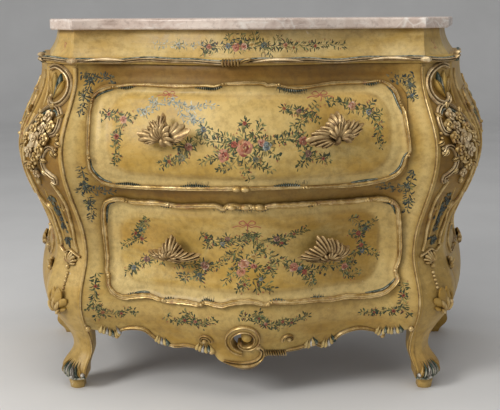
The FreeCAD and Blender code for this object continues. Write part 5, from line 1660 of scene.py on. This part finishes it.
def carve_knee(heap):
    """Painted plumes on the knee, with smaller gilt ones over them."""
    for rim, z, flutes, heights, thick, depth, scallop, finish in (
            (PLUMES, 208, 5, (3, 10, 7), 7, 5, 0.25, POST),
            (GILT_PLUMES, 206, 4, (8, 15, 11), 9, 4, 0.3, GILT)):
        fan(heap, cant, post_place(0.66, z), rim, flutes, *heights, finish, hub=4, thick=thick, depth=depth,
            swirl=0.1, scallop=scallop)
    knob(heap, cant, post_place(0.66, 206), 7 * MM, 8 * MM, GILT)
    post_strip(heap, [(0.80, 262), (0.90, 240), (0.84, 212), (0.70, 196)], 9, 6, POST, ROUND, True)


def carve_toe(heap):
    """Leaves that curl down over the toe, and a line with studs under them."""
    for index, finish in enumerate((POST, TEAL, SILVER, TEAL, SILVER, TEAL, POST)):
        u = 0.08 + 0.14 * index
        root = post_place(0.5 + 0.6 * (u - 0.5), 74)
        leaf(heap, cant, root, post_place(u, 33), 11 * MM, (8 + 2 * (index % 2)) * MM, finish, 0.1, 0.72,
             under=4 * MM)
    post_strip(heap, [(0.04, 38), (0.3, 32), (0.5, 31), (0.7, 32), (0.96, 38)], 7, 7, TEAL)
    for u, z in ((0.10, 44), (0.42, 36), (0.80, 40)):
        knob(heap, cant, post_place(u, z), 5 * MM, 10 * MM, SILVER)


def lifted(ground, lift):
    """A ground raised by a lift, so that brush strokes lie clear of what is under them."""
    def raised(along, height):
        return on(ground, np.stack([along, height], -1), np.full(np.shape(height), lift))
    return raised


painted_post = lifted(cant, 2.2 * MM)


BLOOM_RINGS = ((1.15, 0.62, 0), (0.66, 0.95, 1))


def bloom(heap, ground, centre, radius, petals, rise, finish, base=0.0):
    """Carved open flower: two ruffled rings of petals about a raised heart."""
    turn = rng.uniform(0, 360 / petals)
    low, high = base / MM, (base + rise) / MM
    for share, tall, fewer in BLOOM_RINGS:
        rim = [(turn + 40 * step, share * radius / MM) for step in range(10)]
        peak = tall * (high - low)
        fan(heap, ground, centre, rim, petals - fewer, low + 1, low + peak, low + 0.85 * peak, finish, hub=1,
            thick=peak + 2, depth=2.6, swirl=0.5, scallop=0.34, crinkle=0.5)
    knob(heap, ground, centre, radius * 0.24, rise * 1.05, finish, base)


# ---------------------------------------------------------------- gilt edge of the apron
def scroll(heap, centre, radius, start, stop, wide, tall, ball):
    """Strip that curls in to a ball; sizes are in millimetres."""
    turn = arc(np.array(centre) * MM, (radius * MM, 0.45 * radius * MM), start, stop)
    t = np.linspace(1, 0.7, len(turn))
    ribbon(heap, wavy_front, turn, wide * MM * t, tall * MM * t, GILT, PAIR, -0.5 * MM, 6 * MM)
    knob(heap, wavy_front, np.array(centre) * MM, ball * MM, (tall + 2) * MM, GILT)


EDGE_STRANDS = ((-329, -226, 11), (-205, -128, 10), (-60, 24, 12), (84, 150, 10), (154, 182, 10),
                (190, 320, 11))
EDGE_SHELLS = ((-378, -330), (-232, -204), (-128, -92), (138, 160), (178, 206), (316, 378))
EDGE_KNOBS = ((-336, 139), (-93, 119), (154, 134), (331, 140), (-403, 168), (399, 166))
SHELL_COLOURS = (PANEL, PANEL, SILVER, PANEL, TEAL)


def apron_strands(heap, edge):
    """Double gilt strands along the straighter parts of the apron's edge."""
    for low, high, wide in EDGE_STRANDS:
        part = between(edge, low, high)
        swell = np.sin(np.pi * np.linspace(0.04, 0.96, len(part))) ** 0.25
        ribbon(heap, front, part + np.array((0, 4 * MM)), wide * MM * swell, 9 * MM * swell, GILT, PAIR,
               -0.5 * MM, 20 * MM)


def apron_shells(heap, edge):
    """Fans of fluted leaves at the turns of the apron's edge."""
    for low, high in EDGE_SHELLS:
        flutes = even(between(edge, low, high), 7.5 * MM)
        for index, place in enumerate(flutes):
            lean = (index / max(len(flutes) - 1, 1) - 0.5) * 10 * MM
            leaf(heap, front, place + (-lean, 26 * MM), place + (lean, -2 * MM), 12.5 * MM, 7 * MM,
                 SHELL_COLOURS[index % len(SHELL_COLOURS)], belly=0.72, profile=ROUND, under=12 * MM, rim=1.0)


def apron_volute(heap):
    """Pierced volute near the middle: a painted spiral with two gilt lines round a ball."""
    degrees = np.linspace(262, -150, 90)
    way = towards(np.radians(degrees))
    reach = np.interp(degrees, (-150, 0, 60, 262), (13, 30, 37, 37)) * MM
    wide = np.interp(degrees, (-150, 0, 120, 262), (9, 17, 20, 15)) * MM
    spiral = np.array(VOLUTE) + reach[:, None] * way
    ribbon(heap, front, spiral, wide, 9 * MM, POST, ROUND, -3 * MM, 12 * MM)
    for part, thin in ((0.36, 5), (-0.34, 4)):
        line = spiral + part * wide[:, None] * way
        ribbon(heap, front, line, thin * MM, 10 * MM, GILT, ROUND, -1 * MM, 8 * MM)
    knob(heap, front, np.array(VOLUTE) + 7 * MM, 15 * MM, 16 * MM, PANEL, -8 * MM)


def apron_lip(heap):
    """Gilt lip that runs up out of the volute, with a row of short leaves beside it."""
    lip = smooth([(-64, 98), (-38, 93), (-10, 92), (14, 98), (28, 112), (30, 130), (20, 142)])
    t = np.linspace(0, 1, len(lip))
    ribbon(heap, wavy_front, lip, (8 + 9 * np.sin(np.pi * t)) * MM, 11 * MM, GILT, PAIR, -1 * MM, 14 * MM)
    knob(heap, wavy_front, (0.019, 0.143), 8 * MM, 12 * MM, GILT)
    for index in range(9):
        place = np.array((38 + index * 5.8, 121 - index * 0.6))
        leaf(heap, wavy_front, (place + (-2, 12)) * MM, (place + (2, -8)) * MM, 6.6 * MM, 9 * MM, GILT, 0.1,
             profile=KEEL, under=8 * MM)


def build_apron_edge():
    """Carved edge of the apron."""
    heap = Heap("apron_carving", "case", "gilding", [GILT, TEAL, PANEL, POST, SILVER])
    edge = smooth(APRON_EDGE)
    apron_strands(heap, edge)
    apron_shells(heap, edge)
    apron_volute(heap)
    apron_lip(heap)
    scroll(heap, (94, 160), 15, 200, -60, 9, 8, 6)
    scroll(heap, (-110, 152), 17, -10, 260, 10, 9, 7)
    for place in EDGE_KNOBS:
        knob(heap, wavy_front, np.array(place) * MM, 7 * MM, 10 * MM, GILT)
    heap.make()


# ---------------------------------------------------------------- cornice
CORNICE_MIDDLE = 824.5 * MM
CORNICE_END = CROWN_END - 3 * MM
CORNICE_CORE = np.array([(-1, 0), (-0.95, 0.5), (-0.6, 0.8), (0, 0.9), (0.6, 0.8), (0.95, 0.5), (1, 0)])
CORNICE_STRANDS = ((0.010, 0.125, 4.5), (-0.40, -0.30, 3.5), (0.29, 0.40, 3.5))
CORNER_TIPS = ((12, -4, 14, 11, PALE_GILT), (4, 6, 13, 11, PALE_GILT), (-10, -7, 10, 7, TEAL))
CORNICE_BREAK = 0.411
CORNICE_LEAF = (-0.058, 0.823)


def cornice_lines(heap):
    """Painted core of the moulding, the gilt line that waves along it and its blue-green shadow."""
    run = np.arange(-CORNICE_END, CORNICE_END, 4 * MM)
    level = np.stack([run, np.full(run.shape, CORNICE_MIDDLE)], -1)
    wave = 2.2 * np.sin(run * 22) + 1.2 * np.sin(run * 47 + 1)
    path = level + np.stack([0 * run, wave * MM], -1)
    ribbon(heap, crown(0.0), level, 17 * MM, 9 * MM, PAINT, CORNICE_CORE, 0.0, 22 * MM)
    ribbon(heap, crown(8 * MM), path, 9 * MM, 8 * MM, PALE_GILT, PAIR, 0.0, 4 * MM)
    ribbon(heap, crown(6 * MM), path + (0, 5.5 * MM), 4 * MM, 5 * MM, TEAL, ROUND, 0.0, 3 * MM)
    for start, stop, rise in CORNICE_STRANDS:
        t = np.linspace(0, 1, 40)
        strand = np.stack([start + (stop - start) * t, CORNICE_MIDDLE + rise * np.sin(np.pi * t) * MM], -1)
        ribbon(heap, crown(10 * MM), strand, 8 * MM * lens(len(t)), 8 * MM, PALE_GILT, ROUND, 0.0, 4 * MM)


def cornice_corners(heap):
    """A knob where the moulding breaks, and leaf tips that stand up at its corner."""
    for hand in (-1, 1):
        place = hand * float(np.interp(CORNICE_BREAK, CROWN_BASE[2:-2, 0], CROWN_RUN[2:-2]))
        knob(heap, crown(12 * MM), (place, CORNICE_MIDDLE), 8 * MM, 10 * MM, PALE_GILT, stretch=1.8)
        corner = np.array((hand * CROWN_RUN[-2], CORNICE_MIDDLE))
        for reach, fall, rise, height, finish in CORNER_TIPS:
            root = corner + np.array((-0.8 * hand * reach, fall)) * MM
            tip = corner + np.array((0.6 * hand * reach, fall + rise)) * MM
            leaf(heap, crown(10 * MM), root, tip, 8 * MM, height * MM, finish, 0.2, 0.6, under=6 * MM)


def build_cornice():
    """Carved lip moulding under the frieze."""
    heap = Heap("carved_cornice", "case", "gilding", [GILT, TEAL, PAINT, PALE_GILT],
                ("cornice_front", "cornice_left", "cornice_right"))
    cornice_lines(heap)
    cornice_corners(heap)
    for index in range(6):
        place = np.array(CORNICE_LEAF) + (index * 7 * MM, 0)
        leaf(heap, crown(12 * MM), place + (0, 9 * MM), place + (1 * MM, -9 * MM), 8 * MM, 9 * MM, GILT,
             belly=0.6, profile=KEEL, under=4 * MM)
    leaf(heap, crown(14 * MM), (-0.02, 0.820), (0.012, 0.830), 10 * MM, 8 * MM, GILT, 0.2)
    heap.make()


# ---------------------------------------------------------------- sides and rear posts
SIDE_MIDDLE = 0.222
# Sprays on a side: millimetres behind the line of the feet, and up.
SIDE_TWIGS = [
    [(222, 640), (196, 652), (168, 644), (148, 622)], [(222, 640), (248, 652), (276, 642), (296, 620)],
    [(222, 640), (220, 668), (226, 694)], [(222, 630), (204, 606), (180, 592)],
    [(222, 630), (240, 604), (264, 590)], [(222, 626), (224, 596), (218, 570)],
    [(196, 652), (184, 676), (166, 684)], [(250, 652), (262, 678), (282, 686)],
    [(222, 400), (196, 412), (170, 404), (152, 384)], [(222, 400), (248, 412), (274, 404), (292, 384)],
    [(222, 404), (220, 430), (226, 450)], [(222, 396), (206, 374), (184, 360)],
    [(222, 396), (240, 372), (262, 360)]]
SIDE_BLOSSOMS = [
    (222, 636, 18, "rose"), (196, 650, 9, "pink"), (250, 650, 10, "blue"), (204, 612, 9, "plum"),
    (242, 610, 8, "red"), (160, 634, 7, "slate"), (286, 634, 7, "straw"), (222, 400, 15, "rose"),
    (196, 410, 8, "blue"), (250, 410, 9, "pink"), (206, 378, 7, "red"), (240, 376, 7, "slate")]


SIDE_FRAMES = ((0.536, 0.738), (0.318, 0.486))
SIDE_FRAME_HALF, SIDE_FRAME_RADIUS = 0.108, 0.036
SIDE_FANS = ((0.690, 9), (0.300, 7))
SIDE_FAN_RIM = [(-30, 14), (10, 24), (60, 26), (100, 24), (150, 12)]
REAR_OVALS = ((0.60, 0.76), (0.36, 0.54))
REAR_LINE = CASE_DEPTH - 40 * MM
REAR_PLUME = [(40, 26), (70, 42), (95, 50), (120, 42), (145, 26)]


def side_strip(heap, line, width=8 * MM, closed=True):
    """Gilt moulding on the side of the case."""
    ribbon(heap, side, line, width, 7 * MM, GILT, PAIR, -1 * MM, 4 * MM, closed=closed)


def side_frames(heap):
    """Two gilt frames with a stud in the middle of each edge."""
    for low, high in SIDE_FRAMES:
        middle = (low + high) / 2
        outline = rounded_rectangle(SIDE_FRAME_HALF, low, high, SIDE_FRAME_RADIUS)
        side_strip(heap, outline + (SIDE_MIDDLE, 0), 9 * MM)
        for x in (-SIDE_FRAME_HALF, SIDE_FRAME_HALF):
            knob(heap, side, (SIDE_MIDDLE + x, middle), 6 * MM, 10 * MM, GILT)
        for z in (low, high):
            knob(heap, side, (SIDE_MIDDLE, z), 6 * MM, 10 * MM, GILT, stretch=1.8)


def side_front_edge(heap):
    """Line behind the front post with two small fans on it."""
    levels = np.arange(0.50, 0.80, 4 * MM)
    side_strip(heap, np.stack([corner_setback(levels) + 22 * MM, levels], -1), closed=False)
    for level, lift in SIDE_FANS:
        centre = (float(corner_setback(level)) + 30 * MM, level)
        fan(heap, side, centre, SIDE_FAN_RIM, 6, 2, lift, lift, GILT, hub=4, thick=7, depth=3, scallop=0.2)
        knob(heap, side, centre, 8 * MM, 12 * MM, GILT)


def side_rear_edge(heap):
    """Ovals of leaves on the rear post, and a plume on its knee."""
    circle = towards(np.linspace(0, 2 * np.pi, 40, endpoint=False))[:, ::-1]
    for low, high in REAR_OVALS:
        tall = high - low
        side_strip(heap, (REAR_LINE, (low + high) / 2) + circle * (20 * MM, tall / 2))
        for index in range(5):
            z = low + tall * (0.2 + 0.15 * index)
            leaf(heap, side, (REAR_LINE, z - 12 * MM), (REAR_LINE, z + 14 * MM), 17 * MM, 8 * MM,
                 (GILT, TEAL)[index % 2], 0.1, under=4 * MM)
    fan(heap, side, (REAR_LINE, 0.27), REAR_PLUME, 5, 3, 10, 5, GILT, hub=4, thick=7, depth=4, scallop=0.2)


def build_side(sign):
    """Painted sprays, moulded frames and carved edges on one side of the case."""
    word = side_word(sign)
    painted = Heap("side_flowers_" + word, "case", "painted_wood", [FLOWERS])
    for line in SIDE_TWIGS:
        twig(painted, side_face, line)
    for x, z, radius, kind in SIDE_BLOSSOMS:
        blossom(painted, side_face, x, z, radius, kind)
    carved = Heap("side_carving_" + word, "case", "gilding", [GILT, TEAL, POST])
    side_frames(carved)
    side_front_edge(carved)
    side_rear_edge(carved)
    for heap, angle in ((painted, BRUSH_ANGLE), (carved, CARVED_ANGLE)):
        if sign < 0:
            heap.mirror()
        heap.make(angle)


side_face = lifted(side, 0.3 * MM)


# ---------------------------------------------------------------- dress the model's own nodes
def dress(node, finish):
    """Gives a node of the model one finish."""
    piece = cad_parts[node]
    piece.data.materials.clear()
    piece.data.materials.append(finish)


NODE_FINISHES = {
    "marble_top": MARBLE, "frieze": FRIEZE, "side_panel": PAINT, "side_apron": PAINT, "rear_post": POST,
    "back_board": BACK_WOOD, "back_screws": BRASS, "handle_bolts": BRASS, "case_top_board": PAINT,
    "sub_top": BACK_WOOD, "frieze_back": BACK_WOOD, "bottom_board": BACK_WOOD, "dust_board": BACK_WOOD}


def dress_nodes():
    """Gives every node of the model a finish: the last whose key its name starts or ends with."""
    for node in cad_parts:
        keys = [key for key in NODE_FINISHES if node.startswith(key) or node.endswith(key)]
        dress(node, NODE_FINISHES[keys[-1]] if keys else INNER_WOOD)


# ---------------------------------------------------------------- room, light and camera
FLOOR_NEAR, WALL_FAR, HALF_WIDTH, WALL_HEIGHT, SWEEP = -9.0, 7.0, 10.0, 5.0, 1.5
FLOOR_SHADES = ((0.3, (0.68, 0.68, 0.68)), (0.7, (0.72, 0.72, 0.72)))


def build_room():
    """Pale floor that sweeps up into a wall behind."""
    finish = Finish("pale_floor")
    finish.finish(finish.ramp(finish.noise(3, 3, 0.5), FLOOR_SHADES), 0.7)
    sweep = (WALL_FAR - SWEEP, SWEEP) + SWEEP * towards(np.linspace(-np.pi / 2, 0, 12))
    profile = [(FLOOR_NEAR, 0.0), *sweep.tolist(), (WALL_FAR, WALL_HEIGHT)]
    points = [(x, y, z) for y, z in profile for x in (-HALF_WIDTH, HALF_WIDTH)]
    faces = [(2 * i, 2 * i + 1, 2 * i + 3, 2 * i + 2) for i in range(len(profile) - 1)]
    mesh = bpy.data.meshes.new("floor")
    mesh.from_pydata(points, [], faces)
    mesh.shade_smooth()
    mesh.materials.append(finish.material)
    put("floor", mesh)


WORLD_STRENGTH = 0.34
LAMPS = (
    ("key_light", (-2.9, -2.3, 2.5), (0, 0, 0.55), 1.4, 98, (1.0, 0.98, 0.94)),
    ("fill_light", (2.6, -3.0, 1.6), (0, 0, 0.5), 2.4, 9, (1.0, 0.99, 0.97)),
    ("top_light", (0.0, -0.8, 3.4), (0, 0, 0.6), 2.0, 34, (1.0, 0.99, 0.97)))


def lamp(name, place, aim, size, power, colour):
    """Square soft light; size in metres, power in watts."""
    light = bpy.data.lights.new(name, "AREA")
    light.energy = power
    light.size = size
    light.color = colour
    piece = put(name, light)
    piece.location = place
    piece.rotation_euler = (Vector(aim) - Vector(place)).to_track_quat("-Z", "Y").to_euler()


def build_light():
    """Even white surroundings, and the lamps."""
    world = bpy.data.worlds.new("studio")
    world.use_nodes = True
    background = world.node_tree.nodes["Background"]
    background.inputs["Color"].default_value = (1.0, 1.0, 1.0, 1)
    background.inputs["Strength"].default_value = WORLD_STRENGTH
    bpy.context.scene.world = world
    for settings in LAMPS:
        lamp(*settings)


FOCAL, SENSOR = 66.24, 36
CAMERA_PLACE = (0.027, -2.341, 0.9297)
TILT = 11.73
YAW = 0.616
ROLL = 0.3


def build_camera():
    """Camera where the photograph was taken from; angles in degrees, focal length in millimetres."""
    camera = bpy.data.cameras.new("camera")
    camera.lens = FOCAL
    camera.sensor_width = SENSOR
    piece = put("camera", camera)
    piece.location = CAMERA_PLACE
    piece.rotation_euler = (math.radians(90 - TILT), math.radians(ROLL), math.radians(YAW))
    bpy.context.scene.camera = piece


build_room()
build_light()
build_camera()
bpy.context.scene.view_settings.view_transform = "Standard"
dress_nodes()
build_front()
for level in ("upper", "lower"):
    build_drawer_front(level)
    build_border(level)
    for sign in (-1, 1):
        build_handle(level, sign)
build_drawer_flowers()
build_frame_flowers()
build_frieze_flowers()
for sign in (-1, 1):
    build_post(sign)
    build_side(sign)
build_apron_edge()
build_cornice()
